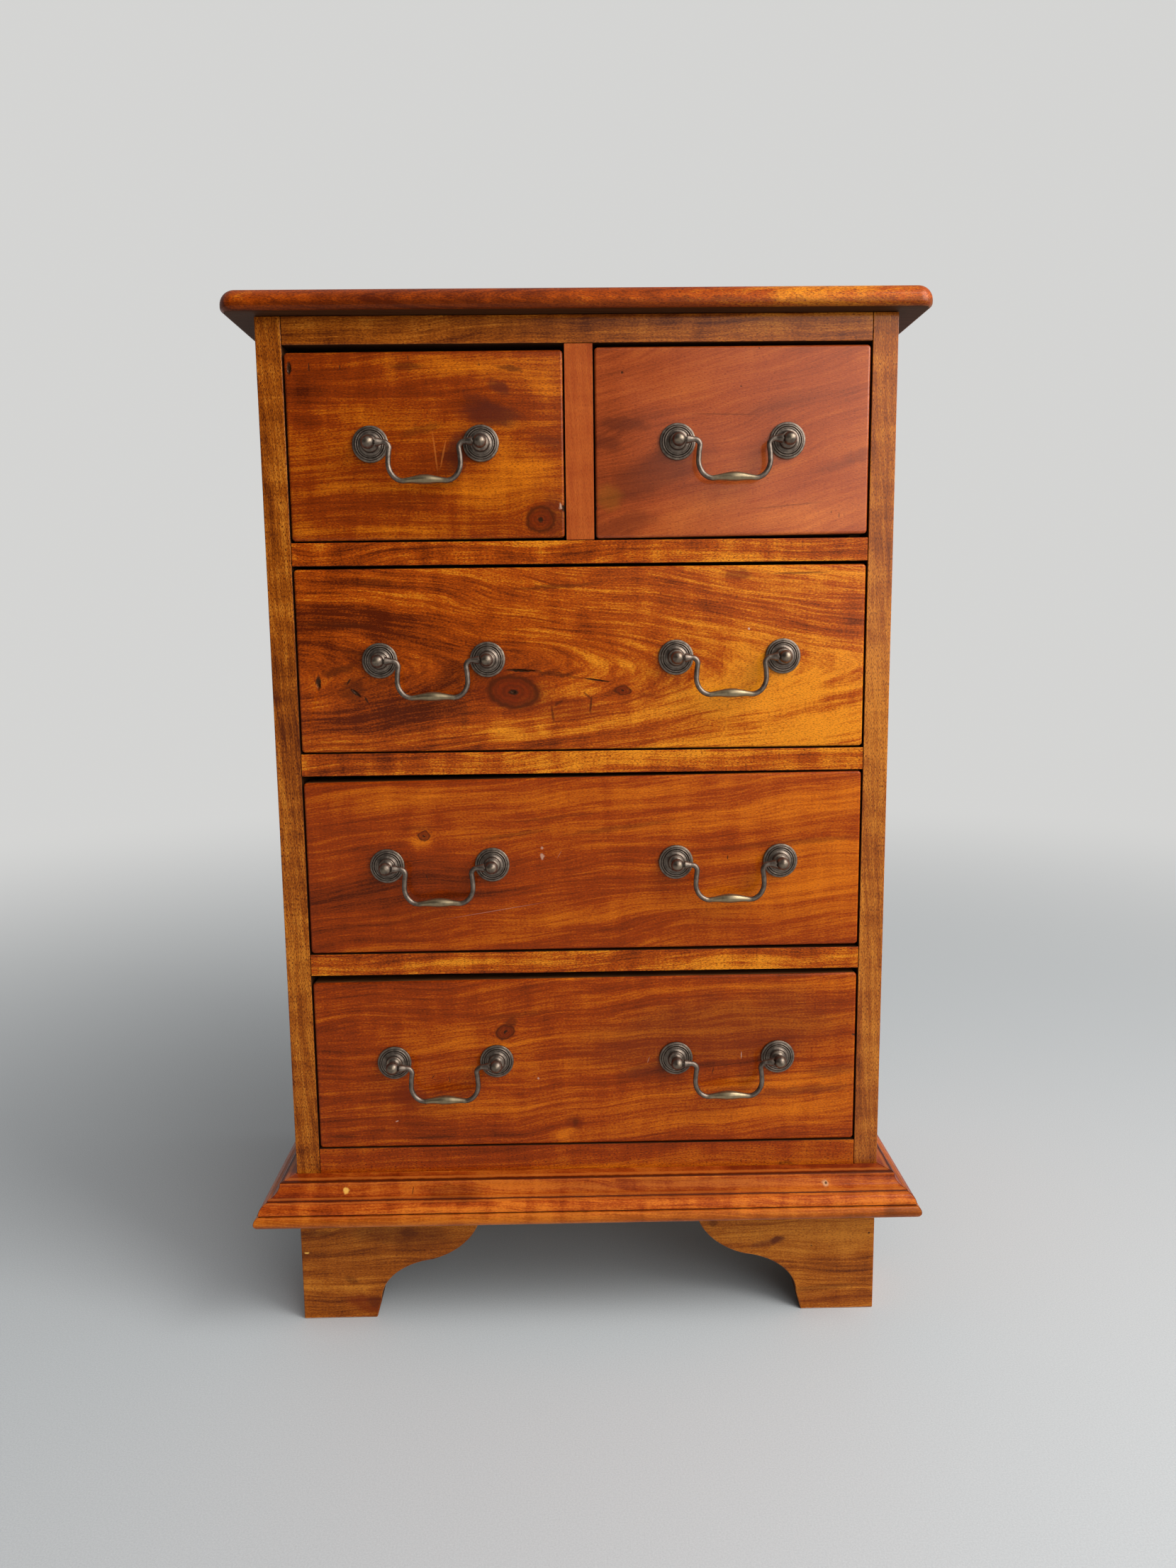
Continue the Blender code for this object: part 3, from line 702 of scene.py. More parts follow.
UPPER_MARKS = (
    patch(0.08, 0.5, 80, 60, -0.38),
    patch(0.84, 0.28, 95, 40, 0.42),
    patch(0.96, 0.12, 60, 22, 0.25),
    patch(0.55, 0.82, 130, 12, 0.2),
    patch(0.90, 0.75, 50, 20, 0.12),
    patch(0.36, 0.10, 16, 7, 0.35),
    patch(0.55, 0.50, 28, 10, 0.2),
    colour_mark(0.14, 0.925, 14, 3, DARK, 0.45),
    colour_mark(0.455, 0.895, 30, 1.6, DARK, 0.6, 3),
    colour_mark(0.775, 0.945, 11, 3.2, RED, 0.7),
    colour_mark(0.885, 0.955, 20, 0.7, DARK, 0.65, 1),
    colour_mark(0.07, 0.70, 26, 2.2, DARK, 0.5, -2),
    colour_mark(0.13, 0.53, 22, 3, DARK, 0.45, -12),
    colour_mark(0.378, 0.325, 29, 15, RED, 0.55),
    colour_mark(0.345, 0.48, 12, 9, RED, 0.4, -30),
    knot(0.378, 0.325, 17, 10.5, -8),
    split(0.378, 0.325, 2.0, 1.2, depth=0.6),
    split(0.392, 0.443, 10, 1.0, -2, depth=1.6),
    colour_mark(0.45, 0.42, 20, 1.4, DARK, 0.6, -9),
    split(0.525, 0.385, 9, 0.6, -9, depth=0.8),
    knot(0.572, 0.325, 5.3, 3.0),
    colour_mark(0.615, 0.30, 7, 2, RED, 0.5, -8),
    colour_mark(0.47, 0.23, 30, 8, RED, 0.35, -4),
    colour_mark(0.447, 0.20, 0.9, 6, DARK, 0.7, 8),
    colour_mark(0.458, 0.26, 5, 0.9, DARK, 0.6, 35),
    colour_mark(0.515, 0.25, 0.9, 6, DARK, 0.8, -6),
    colour_mark(0.509, 0.30, 3.4, 0.8, DARK, 0.7, -40),
    patch(0.425, 0.12, 5, 5, 0.35),
    colour_mark(0.29, 0.20, 3, 10, DARK, 0.35),
    colour_mark(0.07, 0.45, 12, 3.4, DARK, 0.7, 8),
    colour_mark(0.095, 0.345, 9, 8, DARK, 0.55),
    split(0.035, 0.385, 1.8, 5.0, depth=1.0),
    split(0.100, 0.33, 4.5, 1.2, -40, depth=1.0),
    split(0.118, 0.29, 3.0, 0.7, -60),
    split(0.088, 0.39, 2.6, 0.7, 55),
    scratch(0.795, 0.655, 0.8, 0.8, 0, 0.7),
)

MIDDLE_MARKS = (
    knot(0.212, 0.665, 4.5, 3.2),
    patch(0.205, 0.625, 8, 4, 0.4),
    patch(0.05, 0.48, 26, 9, 0.25),
    patch(0.12, 0.86, 40, 8, 0.1),
    patch(0.08, 0.45, 80, 60, -0.2),
    patch(0.92, 0.45, 75, 45, 0.22),
    patch(0.60, 0.86, 110, 9, 0.25, 3),
    patch(0.90, 0.80, 50, 8, 0.18, 4),
    patch(0.30, 0.35, 70, 22, -0.12),
    patch(0.35, 0.07, 120, 7, 0.12),
    colour_mark(0.20, 0.71, 12, 2, DARK, 0.3),
    colour_mark(0.37, 0.665, 26, 1.6, DARK, 0.4, 8),
    colour_mark(0.57, 0.70, 40, 2, DARK, 0.35, 7),
    colour_mark(0.87, 0.60, 50, 2.4, DARK, 0.35, 4),
    colour_mark(0.45, 0.76, 30, 1.2, DARK, 0.3, 6),
    colour_mark(0.424, 0.54, 1.4, 2.4, PALE, 0.5),
    colour_mark(0.424, 0.59, 0.9, 1.1, PALE, 0.4),
    scratch(0.34, 0.235, 33, 0.3, 9, 0.18),
    scratch(0.455, 0.55, 3, 0.2, 60, 0.2),
    split(0.215, 0.43, 0.3, 2.0, 20),
    split(0.76, 0.52, 0.4, 1.5),
)

BOTTOM_MARKS = (
    knot(0.35, 0.68, 6.5, 5, 20),
    colour_mark(0.36, 0.73, 3.5, 6, DARK, 0.55, -30),
    patch(0.345, 0.60, 7, 4, 0.3),
    colour_mark(0.37, 0.78, 26, 2.2, DARK, 0.35, 6),
    colour_mark(0.475, 0.13, 7, 6, RED, 0.65),
    colour_mark(0.478, 0.13, 2.6, 3.4, DARK, 0.6),
    patch(0.455, 0.06, 8, 5, 0.35),
    colour_mark(0.215, 0.055, 18, 0.9, DARK, 0.8, 1),
    colour_mark(0.045, 0.065, 12, 0.8, DARK, 0.75),
    colour_mark(0.17, 0.30, 14, 9, RED, 0.65, -20),
    colour_mark(0.74, 0.66, 100, 30, PURPLE, 0.4, 7),
    colour_mark(0.62, 0.44, 22, 5, PURPLE, 0.45, 8),
    colour_mark(0.90, 0.30, 40, 3.5, PURPLE, 0.4, 5),
    colour_mark(0.96, 0.42, 20, 5, PURPLE, 0.35, 5),
    patch(0.06, 0.5, 70, 60, -0.14),
    patch(0.95, 0.5, 60, 45, 0.18),
    patch(0.70, 0.17, 110, 11, 0.26, 1),
    patch(0.92, 0.95, 50, 4, 0.15),
    scratch(0.788, 0.52, 0.3, 2.6, 0, 0.6),
    scratch(0.615, 0.50, 2.4, 0.25, 70, 0.3),
    scratch(0.41, 0.40, 0.8, 0.8),
    scratch(0.145, 0.155, 1.2, 0.4, 20, 0.7),
    split(0.735, 0.43, 0.3, 3.2, -12),
    split(0.245, 0.40, 0.3, 2.4, 10),
    split(0.215, 0.42, 0.3, 2.0, -35),
    split(0.998, 0.63, 2.2, 0.7, -20, depth=0.8),
)

FRONT_WOODS = {
    "top_left_drawer": dict(
        tones=AMBER, seed=4.0, pith=(-120.0, 60.0), taper=-0.03, wave=16.0,
        contrast=0.65, ripple_and_sheen=0.8, speckle=0.6, marks=TOP_LEFT_MARKS,
    ),
    "top_right_drawer": dict(
        tones=ROSY, seed=5.0, pith=(-150.0, 60.0), taper=-0.25,
        contrast=0.45, speckle=0.4, sheen=0.5, marks=TOP_RIGHT_MARKS,
    ),
    "upper_drawer": dict(
        tones=GOLDEN, seed=6.0, pith=(58.0, 25.0), taper=0.12, speckle=0.55, marks=UPPER_MARKS
    ),
    "middle_drawer": dict(
        tones=ORANGE, seed=7.0, pith=(-160.0, 50.0), taper=-0.10,
        contrast=0.7, speckle=0.4, marks=MIDDLE_MARKS,
    ),
    "bottom_drawer": dict(
        tones=ORANGE, seed=8.0, pith=(-170.0, 50.0), taper=-0.08,
        contrast=0.8, speckle=0.45, marks=BOTTOM_MARKS,
    ),
}


def aged_brass(name):
    """Dark antique brass; its wear attribute is 1 where it is rubbed and 0 in the hollows."""
    rubbed_brass = (0.36, 0.27, 0.14)
    grime = (0.022, 0.017, 0.014)
    n = Nodes(bpy.data.materials.new(name))
    place = n.object_place()
    mottled = n.noise(n.scaled(place, 300.0), 3.0, 0.55)
    fine = n.noise(n.scaled(place, 4000.0), 2.0)
    wear = n.add("Attribute", output=2, attribute_name="wear")
    patina = n.ramp(
        mottled,
        [(0.3, (0.095, 0.071, 0.055)), (0.5, (0.150, 0.115, 0.090)), (0.75, (0.23, 0.18, 0.14))],
    )
    rubbed = n.step(n.line(n.math("SUBTRACT", mottled, 0.5), 0.5, wear), 0.45, 1.0)
    grimy = n.step(wear, 0.25, 0.0)
    colour = n.mix(n.product(rubbed, 0.7), patina, rubbed_brass)
    colour = n.mix(n.product(grimy, 0.3), colour, grime)
    roughness = n.blend(rubbed, n.line(mottled, 0.15, 0.30), 0.30)
    height = n.math("ADD", n.product(mottled, 0.6), n.product(fine, 0.4))
    return n.finish(colour, roughness, metallic=0.9, height=height, bump_mm=0.02)


# The pieces


def top_ring(inset, z):
    """The top board's outline, drawn in by the inset, with its two front corners rounded."""
    side = TOP_HIGH.x
    corner_x = side - TOP_CORNER_RADIUS
    corner_y = TOP_LOW.y + TOP_CORNER_RADIUS
    radius = TOP_CORNER_RADIUS - inset
    points = [(side - inset, BACK_Y)]
    points += arc((corner_x, corner_y), radius, 0, -90, 12)
    points += arc((-corner_x, corner_y), radius, -90, -180, 12)
    points.append((inset - side, BACK_Y))
    return [(px, py, z) for px, py in points]


def top_board(material):
    small, large = TOP_LOWER_ROUNDING, TOP_UPPER_ROUNDING
    steps = arc((small, TOP_LOW.z + small), small, 270, 180, 6)
    steps += arc((large, TOP_HIGH.z - large), large, 180, 90, 16)
    mesh = mesh_of(loft([top_ring(inset, z) for inset, z in steps]), "top_board_fine", 35)
    stand_in("top_board", mesh, material)


def moulding_profile():
    """The section as (how far it stands out, height): a nosing, an ovolo and a cove, going up."""
    base = MOULDING_LOW.z
    nosing_x = FRONT_Y - MOULDING_LOW.y - NOSING_RADIUS
    ovolo_x = nosing_x - 6.3 * MM
    ovolo_z = base + 10.2 * MM
    cove_x = 19.8 * MM
    cove_z = base + 28.2 * MM
    points = [(GAP, base)]
    points += arc((nosing_x, base + NOSING_RADIUS), NOSING_RADIUS, -90, 60, 18)
    points.append((nosing_x + 0.9 * MM, ovolo_z - 0.8 * MM))
    points += arc((ovolo_x, ovolo_z), OVOLO_RADIUS, 0, 68, 12)
    points.append((cove_x - 1.3 * MM, base + 18.3 * MM))
    points += arc((cove_x, cove_z), COVE_RADIUS, 262, 180, 14)
    points.append((cove_x - 9.6 * MM, base + 29.1 * MM))
    points.append((GAP, MOULDING_HIGH.z))
    return points


def base_moulding(wood_of):
    """The three lengths, mitred at the front corners, each in the wood of its node."""
    profile = moulding_profile()
    front = [
        [(side * (HALF_WIDTH + out - MITRE_GAP), FRONT_Y - out, z) for out, z in profile]
        for side in (-1, 1)
    ]
    lengths = {"base_moulding_front": front}
    for node, side in (("base_moulding_left", -1), ("base_moulding_right", 1)):
        lengths[node] = [
            [(side * (HALF_WIDTH + out), FRONT_Y - out + MITRE_GAP, z) for out, z in profile],
            [(side * (HALF_WIDTH + out), BACK_Y, z) for out, z in profile],
        ]
    for node, ends in lengths.items():
        length = stand_in(node, mesh_of(loft(ends), f"{node}_fine", 28), wood_of(node))
        eased(length, 0.3 * MM)


def bracket_outline():
    """A foot's bracket from its corner: upright, then an ogee of a hollow and a swell."""
    hollow_radii = (48.6 * MM, 32.5 * MM)
    swell_radii = (56 * MM, 43 * MM)
    hollow = arc((108.6 * MM, 15 * MM), hollow_radii, 180, 105, 16)
    swell = arc((82 * MM, FOOT_TOP), swell_radii, -75, 0, 20)
    return [(0, 0), (FOOT_WIDTH, 0)] + hollow + swell[1:] + [(0, FOOT_TOP)]


def foot(node, side, end, material):
    """A corner foot of two brackets; at the back, the one across is a plain brace."""
    corner_x = side * (HALF_WIDTH - GAP)
    corner_y = FRONT_Y + GAP if end < 0 else BACK_Y - GAP
    brace = [(0, 0), (FOOT_WIDTH, 0), (REAR_BRACE_WIDTH, FOOT_TOP), (0, FOOT_TOP)]
    across = bracket_outline() if end < 0 else brace
    along_side = [
        [(corner_x - side * d, corner_y - end * u, z) for u, z in bracket_outline()]
        for d in (0, FOOT_THICKNESS)
    ]
    along_front = [
        [(corner_x - side * u, corner_y - end * d, z) for u, z in across]
        for d in (0, FOOT_THICKNESS)
    ]
    mesh = combined(loft(along_side), f"{node}_fine", [loft(along_front)], "UNION", 30)
    eased(stand_in(node, mesh, material), 0.9 * MM)


def end_heights(node, x):
    """The lowest and highest z of a CAD node near one end."""
    near = 6 * MM
    heights = [v.co.z for v in NODES[node].data.vertices if abs(v.co.x - x) < near]
    return min(heights), max(heights)


def front_ring(low, high, heights, inset, y):
    """A round-cornered outline whose lower and upper edges are at heights, left then right."""
    corner = FRONT_CORNER_RADIUS
    radius = corner - inset
    points = []
    for cx, cz, start in (
        (high.x - corner, heights[1][1] - corner, 0),
        (low.x + corner, heights[0][1] - corner, 90),
        (low.x + corner, heights[0][0] + corner, 180),
        (high.x - corner, heights[1][0] + corner, 270),
    ):
        points += arc((cx, cz), radius, start, start + 90, 6)
    return [(px, y, pz) for px, pz in points]


def split_cutter(low, high, mark):
    """A lens-shaped cutter for a split, in the plane of a front."""
    bm = bmesh.new()
    bmesh.ops.create_icosphere(bm, subdivisions=3, radius=1)
    size = Vector((mark.size[0], mark.amount, mark.size[1])) * MM
    lumpiness = 0.18
    for vert in bm.verts:
        lump = math.sin(9 * vert.co.x + 5 * vert.co.z) * math.sin(7 * vert.co.z + 2)
        vert.co *= 1 + lumpiness * lump
        vert.co = Vector(part * scale for part, scale in zip(vert.co, size))
    x = low.x + mark.at[0] * (high.x - low.x)
    z = low.z + mark.at[1] * (high.z - low.z)
    place = Vector((x, low.y, z))
    turn = Matrix.Rotation(-math.radians(mark.angle), 4, "Y")
    bmesh.ops.transform(bm, matrix=Matrix.Translation(place) @ turn, verts=bm.verts)
    return bm


def drawer_front(drawer, material, marks):
    """A front with rounded edges, its splits, its holes for the posts and its bottom's groove."""
    node = f"{drawer}_front"
    low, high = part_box(node)
    heights = [end_heights(node, x) for x in (low.x, high.x)]
    rounding = FRONT_EDGE_ROUNDING
    steps = arc((rounding, low.y + rounding), rounding, 270, 180, 8)
    steps.append((0, high.y))
    body = loft([front_ring(low, high, heights, inset, y) for inset, y in steps])
    cuts = [split_cutter(low, high, mark) for mark in marks if mark.kind == "split"]
    hole_length = 40 * MM
    for post in (name for name in NODES if name.startswith(f"{drawer}_post_")):
        centre = sum(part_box(post), Vector()) / 2
        place = (centre.x, high.y - FRONT_THICKNESS / 2, centre.z)
        cuts.append(cylinder(SHANK_HOLE_RADIUS, hole_length, place, "Y"))
    panel_low, panel_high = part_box(f"{drawer}_bottom")
    reach = Vector((GAP, GAP, GAP))
    cuts.append(block(panel_low - reach, panel_high + reach))
    mesh = combined(body, f"{node}_fine", cuts, "DIFFERENCE", 35)
    stand_in(node, mesh, material)


def mark_wear(mesh, rule):
    """Keeps how rubbed each vertex is, by a rule on its place in the unplaced mesh."""
    layer = mesh.attributes.new("wear", "FLOAT", "POINT")
    for vert, value in zip(mesh.vertices, layer.data):
        value.value = rule(vert.co / MM)
    return mesh


def post_wear(co):
    """Rings stand bright, grooves and the foot of the neck stay dark."""
    radius, out = math.hypot(co.x, co.z), -co.y
    neck_foot = 5
    if out > neck_foot:
        return 0.35 + 0.25 * max(0.0, (out - STANDOFF) / BALL_RADIUS)
    grooves = (10.9, 9.3, 7.9, 6.2)
    nearest = min(abs(radius - groove) for groove in grooves)
    return min(0.55, nearest * 0.55)


def bail_wear(co):
    """The grip is rubbed by fingers, most in its middle."""
    reach = 19
    top = -18
    grip = max(0.0, 1 - (abs(co.x) / reach) ** 4) if co.z < top else 0.0
    return 0.36 + 0.5 * grip


def rosette_profile():
    """(radius, distance out from the drawer front) for a ringed rosette, its neck and its ball."""
    seat = GAP / MM
    rim = ROSETTE_RADIUS
    points = [(rim, seat), (rim, 1.3)]
    points += arc((rim - 0.5, 1.3), 0.5, 0, 90, 4)
    points += [(11.1, 1.95), (10.9, 1.7), (10.7, 1.95)]
    points += arc((10.1, 1.9), (0.6, 0.45), 0, 180, 6)
    points += [(9.3, 1.75), (9.1, 2.0)]
    points += arc((8.6, 2.0), (0.5, 0.4), 0, 180, 5)
    points += [(7.9, 2.0), (7.0, 2.3), (6.4, 2.75)]
    points += [(6.2, 2.9), (6.05, 3.4), (5.8, 4.3), (5.3, 4.8)]
    points += arc((5.3, 6.9), (2.3, 2.1), 270, 180, 5)
    start = math.degrees(math.asin(NECK_RADIUS / BALL_RADIUS)) - 90
    points += arc((0, STANDOFF), BALL_RADIUS, start, 90, 16)
    return [(radius * MM, out * MM) for radius, out in points]


def flatten_nut(bm):
    """Draws the round nut in to a hexagon."""
    sixth = math.tau / 6
    for vert in bm.verts:
        radius = math.hypot(vert.co.x, vert.co.z)
        if vert.co.y > FRONT_THICKNESS and radius > (SHANK_RADIUS + 1) * MM:
            turn = math.atan2(vert.co.z, vert.co.x) % sixth
            pull = math.cos(sixth / 2) / math.cos(turn - sixth / 2)
            vert.co.x *= pull
            vert.co.z *= pull


def shank_profile():
    """(radius, distance out from the drawer front) for a post's shank and nut, from the back."""
    shank, nut = SHANK_RADIUS, NUT_CORNER_RADIUS
    points = [(0, -SHANK_END), (shank, -SHANK_END), (shank, -NUT_BACK), (nut, -NUT_BACK)]
    points += [(nut, -NUT_FACE), (shank, -NUT_FACE), (shank, GAP / MM)]
    return [(radius * MM, out * MM) for radius, out in points]


def post_mesh():
    """A post at the origin with its face towards -Y and its bore towards +X."""
    profile = shank_profile() + rosette_profile()
    bm = bmesh.new()
    verts = [bm.verts.new((radius, -out, 0)) for radius, out in profile]
    edges = [bm.edges.new(pair) for pair in zip(verts, verts[1:])]
    bmesh.ops.spin(
        bm, geom=verts + edges, axis=(0, 1, 0), cent=(0, 0, 0),
        angle=math.tau, steps=48, use_merge=True,
    )
    bmesh.ops.remove_doubles(bm, verts=bm.verts, dist=1e-6)
    flatten_nut(bm)
    bore_length = 10
    place = Vector((PIN_HOLE_FLOOR + bore_length / 2, -STANDOFF, 0)) * MM
    bore = cylinder(PIN_HOLE_RADIUS * MM, bore_length * MM, place, "X", 24)
    return mark_wear(combined(bm, "handle_post_fine", [bore], "DIFFERENCE", 35), post_wear)


def bail_path():
    """Half of the bail, from the middle of the grip to the pin's end, as (x, z, radius) in mm."""
    path = []
    steps = 14
    for i in range(steps + 1):
        share = i / steps
        swell = 0.5 + 0.5 * math.cos(math.pi * min(1.0, share * 1.05))
        radius = GRIP_END_RADIUS + GRIP_SWELL * swell
        path.append((GRIP_HALF_LENGTH * share, -GRIP_DROP - share**2, radius))
    lower_bend = arc((GRIP_HALF_LENGTH, -14), (10.2, 12), -90, 0, 14)[1:]
    path += [(px, pz, LEG_RADIUS) for px, pz in lower_bend]
    path.append((24.4, -9, LEG_RADIUS))
    upper_bend = arc((28, -4.2), (4.3, 4.2), 180, 90, 8)
    path += [(px, pz, LEG_RADIUS + 0.05) for px, pz in upper_bend]
    path += [(29.2, 0, 2.1), (30.6, 0, 2.65), (32.2, 0, 3.0)]
    path += [(KNUCKLE_END - 0.2, 0, KNUCKLE_RADIUS), (KNUCKLE_END, 0, KNUCKLE_RADIUS - 0.2)]
    path += [(KNUCKLE_END, 0, PIN_RADIUS), (PIN_END, 0, PIN_RADIUS)]
    return path


def bail_mesh():
    """A bail at the origin, hanging from its pivot's axis, which is X."""
    half = bail_path()
    path = [(-px, pz, radius) for px, pz, radius in reversed(half[1:])] + half
    depth = Vector((0, 1, 0))
    sides = 24
    rings = []
    for i, (px, pz, radius) in enumerate(path):
        before, after = path[max(i - 1, 0)], path[min(i + 1, len(path) - 1)]
        along = Vector((after[0] - before[0], 0, after[1] - before[1])).normalized()
        across = along.cross(depth)
        ring = []
        for k in range(sides):
            turn = math.tau * k / sides
            reach = across * math.cos(turn) + depth * math.sin(turn)
            ring.append((Vector((px, 0, pz)) + radius * reach) * MM)
        rings.append(ring)
    return mark_wear(mesh_of(loft(rings), "handle_bail_fine", 40), bail_wear)


def handles(drawer, post, bail, metal):
    """The drawer's posts and bails; a post with an even number faces the other way."""
    for node in NODES:
        low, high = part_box(node)
        middle_x = (low.x + high.x) / 2
        if node.startswith(f"{drawer}_post_"):
            mesh = post.copy()
            if int(node.rsplit("_", 1)[1]) % 2 == 0:
                mesh.transform(Matrix.Rotation(math.pi, 4, "Y"))
            place = (middle_x, FRONT_Y, (low.z + high.z) / 2)
        elif node.startswith(drawer) and node.endswith("_bail"):
            mesh = bail.copy()
            place = (middle_x, (low.y + high.y) / 2, high.z - KNUCKLE_RADIUS * MM)
        else:
            continue
        mesh.transform(Matrix.Translation(place))
        stand_in(node, mesh, metal)


# The studio

BACKDROP = (0.66, 0.66, 0.65, 1)
DAYLIGHT = (0.98, 0.99, 1.0, 1)


def camera():
    """The photograph's camera, as fitted to the chest's corners."""
    data = bpy.data.cameras.new("camera")
    data.lens = 26.58
    data.sensor_width = 36
    obj = linked("camera", data)
    obj.location = (-8.9 * MM, FRONT_Y - 827 * MM, 535 * MM)
    yaw, pitch, roll = math.radians(0.85), math.radians(8.33), math.radians(0.64)
    turn = (
        Matrix.Rotation(-yaw, 4, "Z")
        @ Matrix.Rotation(math.pi / 2 - pitch, 4, "X")
        @ Matrix.Rotation(-roll, 4, "Z")
    )
    obj.rotation_mode = "QUATERNION"
    obj.rotation_quaternion = turn.to_quaternion()
    return obj


def window():
    """A soft lamp at the right front, above, that looks at the chest's middle."""
    light = bpy.data.lights.new("window", "AREA")
    light.shape = "RECTANGLE"
    light.size = 0.75
    light.size_y = 0.95
    light.energy = 15.5
    light.color = (1.0, 0.99, 0.97)
    lamp = linked("window", light)
    target = Vector((0, 0, 0.4))
    distance = 1.45
    direction = Vector((-0.806, 0.592, -0.70)).normalized()
    lamp.location = target - direction * distance
    lamp.rotation_mode = "QUATERNION"
    lamp.rotation_quaternion = direction.to_track_quat("-Z", "Y")


def studio():
    scene = bpy.context.scene
    scene.camera = camera()
    window()
    scene.world = room()
    bm = bmesh.new()
    bmesh.ops.create_circle(bm, cap_ends=True, segments=96, radius=9)
    floor = linked("floor", mesh_of(bm, "floor", 30))
    floor.data.materials.append(floor_finish())
    scene.view_settings.view_transform = "Standard"


def room():
    """Plain to the camera, but lit like a room: bright to the right, dim in front on the left."""
    n = Nodes(bpy.data.worlds.new("room"))
    way = n.add("TexCoord", output=0)
    to_window = n.along(way, (0.70, -0.62, 0.35))
    to_glow = n.along(way, (0.42, -0.88, 0.22))
    to_corner = n.along(way, (-0.50, -0.86, -0.05))
    bright = n.line(n.step(to_window, 0.5, 0.95), 1.5, 0.29)
    dim = n.line(n.step(to_corner, 0.35, 0.9), -0.85, 1.0)
    glow = n.product(n.step(to_glow, 0.88, 1.0), 1.7)
    light = n.math("ADD", n.product(bright, dim), glow)
    lit = n.add("Background", {"Color": DAYLIGHT, "Strength": light})
    plain = n.add("Background", {"Color": BACKDROP, "Strength": 1.0})
    camera_ray = n.add("LightPath", output=0)
    shader = n.add("MixShader", (camera_ray, lit, plain))
    n.add("OutputWorld", (shader,), output=None)
    return n.owner


def floor_finish():
    """A pale floor that melts into the backdrop further off."""
    n = Nodes(bpy.data.materials.new("floor"))
    place = n.object_place()
    grit = n.noise(n.scaled(place, 900.0), 3.0, 0.6)
    colour = n.mix(grit, (0.48, 0.505, 0.515), (0.71, 0.735, 0.745))
    near = n.add("BsdfPrincipled", {"Base Color": colour, "Roughness": 0.65})
    far = n.add("Emission", {"Color": BACKDROP, "Strength": 1.0})
    distance = n.vector_math("LENGTH", place, output=1)
    shader = n.add("MixShader", (n.step(distance, 0.4, 2.4), near, far))
    n.add("OutputMaterial", (shader,), output=None)
    return n.owner


def moulding_wood(node):
    """A length's wood: painted shade in its quirks and painted highlights along their edges, with the
    front's own marks.
    """
    along = "x" if node.endswith("front") else "y"
    outer = {"front": FRONT, "left": LEFT, "right": RIGHT}[node.rsplit("_", 1)[1]]
    marks = []
    for band in (
        ((23.5,), 5.5, RED, 0.25),
        ((30.5,), 1.5, RED, 0.4),
        ((4.0,), 5.0, OLIVE, 0.3),
        # Dark lines in the quirks: painted shade.
        ((9.7, 18.4, 29.1), 0.5, DARK, 0.95),
        # Pale lines along the quirks' edges: painted highlights.
        ((8.6, 17.3, 19.6, 27.9, 30.0), 0.3, WORN_AND_HIGHLIGHT, 0.45),
    ):
        marks += lines(node, *band)
    if along == "x":
        marks += [
            patch(0.08, 0.5, 70, 40, -0.15),
            patch(0.55, 0.75, 130, 6, 0.3),
            patch(0.50, 0.3, 150, 9, 0.15),
            colour_mark(0.134, 0.74, 2.2, 1.6, YELLOW, 0.9, 30),
            colour_mark(0.235, 0.72, 0.4, 2.4, BLACK, 0.7, -10),
            colour_mark(0.295, 0.70, 22, 4, DARK, 0.35),
            colour_mark(0.86, 0.72, 2.4, 1.8, TAN, 0.8, -30),
            colour_mark(0.861, 0.72, 1.0, 0.8, BLACK, 0.9),
            colour_mark(0.62, 0.72, 90, 6, PURPLE, 0.25),
            colour_mark(0.97, 0.20, 16, 5, DARK, 0.4),
        ]
    return wood(
        node, MOULDED, seed=11.0, along=along, pith=(-80.0, 40.0),
        ripple_and_sheen=1.1, contrast=1.1, speckle=0.3, shown=(outer, UP), marks=marks,
    )


def foot_marks(node):
    if node == "front_left_foot":
        return [
            colour_mark(0.55, 0.78, 40, 9, DARK, 0.45, -3),
            colour_mark(0.60, 0.79, 7, 4, DARK, 0.6, -10),
            colour_mark(0.06, 0.80, 20, 2.2, DARK, 0.5),
            colour_mark(0.36, 0.14, 18, 8, RED, 0.7, -15),
            colour_mark(0.5, 0.004, ENDLESS, 0.6, PALE, 0.4),
            colour_mark(0.40, 0.16, 6, 5, DARK, 0.5),
            colour_mark(0.27, 0.36, 6, 3, DARK, 0.4, -30),
            patch(0.30, 0.24, 14, 6, 0.25),
            patch(0.30, 0.60, 60, 30, 0.08),
            colour_mark(0.03, 0.62, 1.8, 0.8, YELLOW, 0.9),
        ]
    if node == "front_right_foot":
        return [
            colour_mark(0.46, 0.66, 6, 3.2, PURPLE, 0.85, 10),
            colour_mark(0.40, 0.63, 14, 3, PURPLE, 0.5, 12),
            colour_mark(0.10, 0.83, 4, 3, DARK, 0.6),
            colour_mark(0.70, 0.20, 30, 2.4, DARK, 0.4, 4),
            colour_mark(0.72, 0.10, 34, 8, RED, 0.25),
            colour_mark(0.5, 0.004, ENDLESS, 0.6, PALE, 0.4),
            split(0.97, 0.71, 0.7, 0.7),
            colour_mark(0.65, 0.60, 0.6, 0.6, BLACK, 0.7),
            patch(0.6, 0.85, 60, 10, 0.18),
            patch(0.5, 0.5, 90, 60, 0.12),
        ]
    return []


def lining(node, seed, along="x"):
    """Plain pale wood on every face, for what hides inside and behind."""
    return wood(node, LINING, seed, along, shown=(), other_face_tones=LINING)


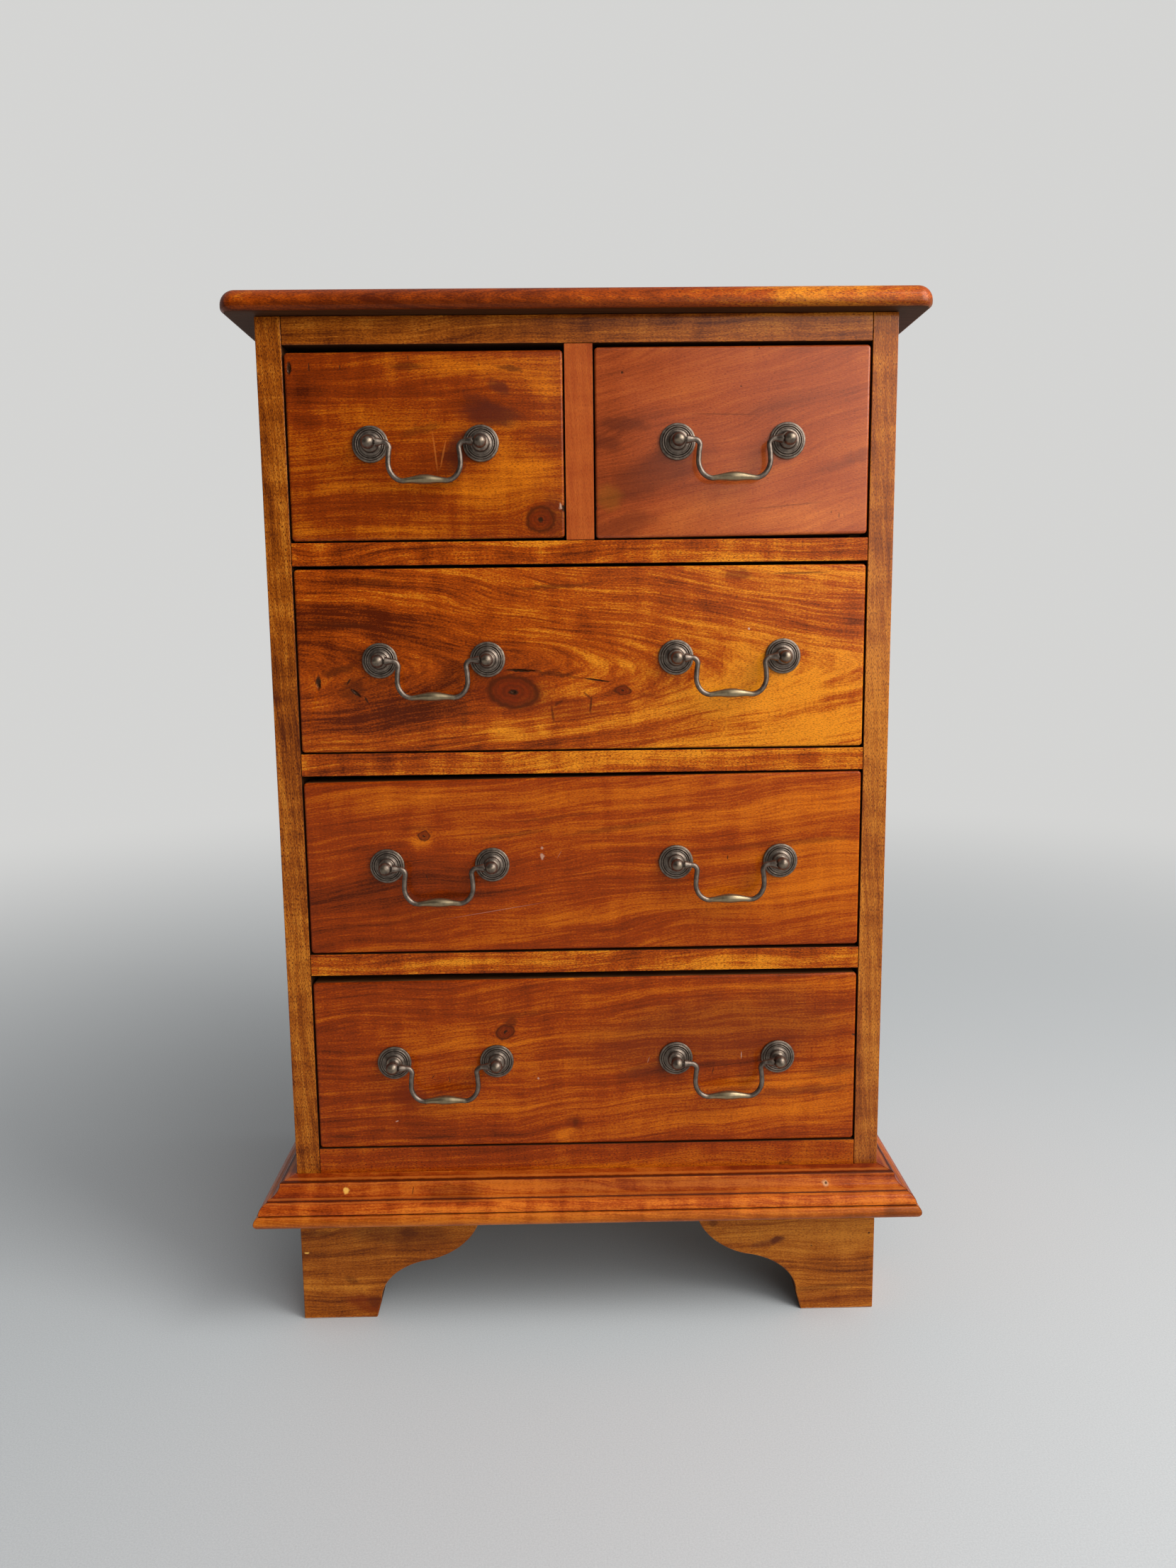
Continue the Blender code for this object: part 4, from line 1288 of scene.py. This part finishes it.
def dress_carcass():
    """Polishes the carcass's boards; each is its own cut of wood."""
    bottom_rail_marks = [
        patch(0.62, 0.55, 80, 7, 0.4),
        patch(0.92, 0.5, 55, 9, 0.3),
        patch(0.12, 0.4, 60, 9, -0.12),
        colour_mark(0.87, 0.65, 7, 1.2, DARK, 0.5),
    ]
    rails = {
        # The top rail's dark patch over its left part is a painted shadow of the top board's
        # overhang.
        "top_rail": dict(
            tones=BROWN, seed=20.0, sheen=0.4, marks=[patch(0.2, 0.5, 150, 30, -0.22)]
        ),
        "upper_rail": dict(tones=GOLDEN, seed=21.0),
        "middle_rail": dict(tones=GOLDEN, seed=22.0),
        "lower_rail": dict(tones=GOLDEN, seed=23.0, marks=[patch(0.6, 0.5, 200, 30, 0.12)]),
        "bottom_rail": dict(tones=ORANGE, seed=24.0, contrast=0.6, marks=bottom_rail_marks),
    }
    for node, cut in rails.items():
        eased_cad(node, wood(node, speckle=0.75, ripple_and_sheen=0.8, **cut))
    uprights = {
        "left_side_panel": dict(
            tones=BROWN, seed=25.0, contrast=1.1, speckle=1.0, shown=(FRONT, LEFT)
        ),
        "right_side_panel": dict(
            tones=BROWN, seed=26.0, contrast=0.9, speckle=0.8, sheen=0.4,
            shown=(FRONT, RIGHT), marks=[patch(0.6, 0.5, 400, 100, 0.18)],
        ),
        "drawer_divider": dict(tones=ROSY, seed=27.0, contrast=0.4, speckle=0.3),
    }
    for node, cut in uprights.items():
        material = wood(node, along="z", pith=(-90.0, -140.0), wave=8.0, ripple_and_sheen=0.9, **cut)
        eased_cad(node, material)
    hidden = (
        "back_panel", "upper_dust_board", "middle_dust_board", "lower_dust_board", "bottom_board"
    )
    for number, node in enumerate(hidden):
        eased_cad(node, lining(node, 30.0 + number))


def dress_drawers():
    metal = aged_brass("aged_brass")
    post, bail = post_mesh(), bail_mesh()
    for number, drawer in enumerate(DRAWERS):
        cut = FRONT_WOODS[drawer]
        # The front's edges and back take dark tones, partly painted shade in the gaps round the
        # drawer.
        face = wood(f"{drawer}_front", name=f"{drawer}_wood", other_face_tones=EDGE_WOOD_AND_GAP_SHADE, **cut)
        drawer_front(drawer, face, cut["marks"])
        box, bottom = f"{drawer}_box", f"{drawer}_bottom"
        eased_cad(box, lining(box, 40.0 + number, "round a corner"))
        eased_cad(bottom, lining(bottom, 50.0 + number))
        handles(drawer, post, bail, metal)


def dress_top():
    """The top board, a guess but for its front edge; its level face is the dull one."""
    marks = [
        patch(0.88, 0.6, 90, 60, 0.2),
        patch(0.3, 0.3, 200, 60, -0.2),
        patch(0.12, 0.2, 120, 8, -0.2),
        # A dark band on the front edge's lower rounding: painted shade under the top board's edge.
        *lines("top_board", (2.0,), 3.5, DARK, 0.55),
    ]
    material = wood(
        "top_board", GOLDEN, 10.0, name="top_wood", pith=(-60.0, -190.0), taper=0.08,
        contrast=0.7, speckle=0.8, level_shine=0.06, shown=(FRONT, UP, LEFT, RIGHT), marks=marks,
    )
    top_board(material)


def dress_feet():
    for node, side, end in (
        ("front_left_foot", -1, -1),
        ("front_right_foot", 1, -1),
        ("back_left_foot", -1, 1),
        ("back_right_foot", 1, 1),
    ):
        outer = RIGHT if side > 0 else LEFT
        shown = (FRONT, outer) if end < 0 else (outer,)
        seed = 12.0 + side + 0.3 * end
        marks = foot_marks(node)
        material = wood(node, BROWN, seed, "round a corner", shown=shown, marks=marks)
        foot(node, side, end, material)


def main():
    dress_top()
    base_moulding(moulding_wood)
    dress_feet()
    dress_carcass()
    dress_drawers()
    studio()


main()
bpy.context.view_layer.update()
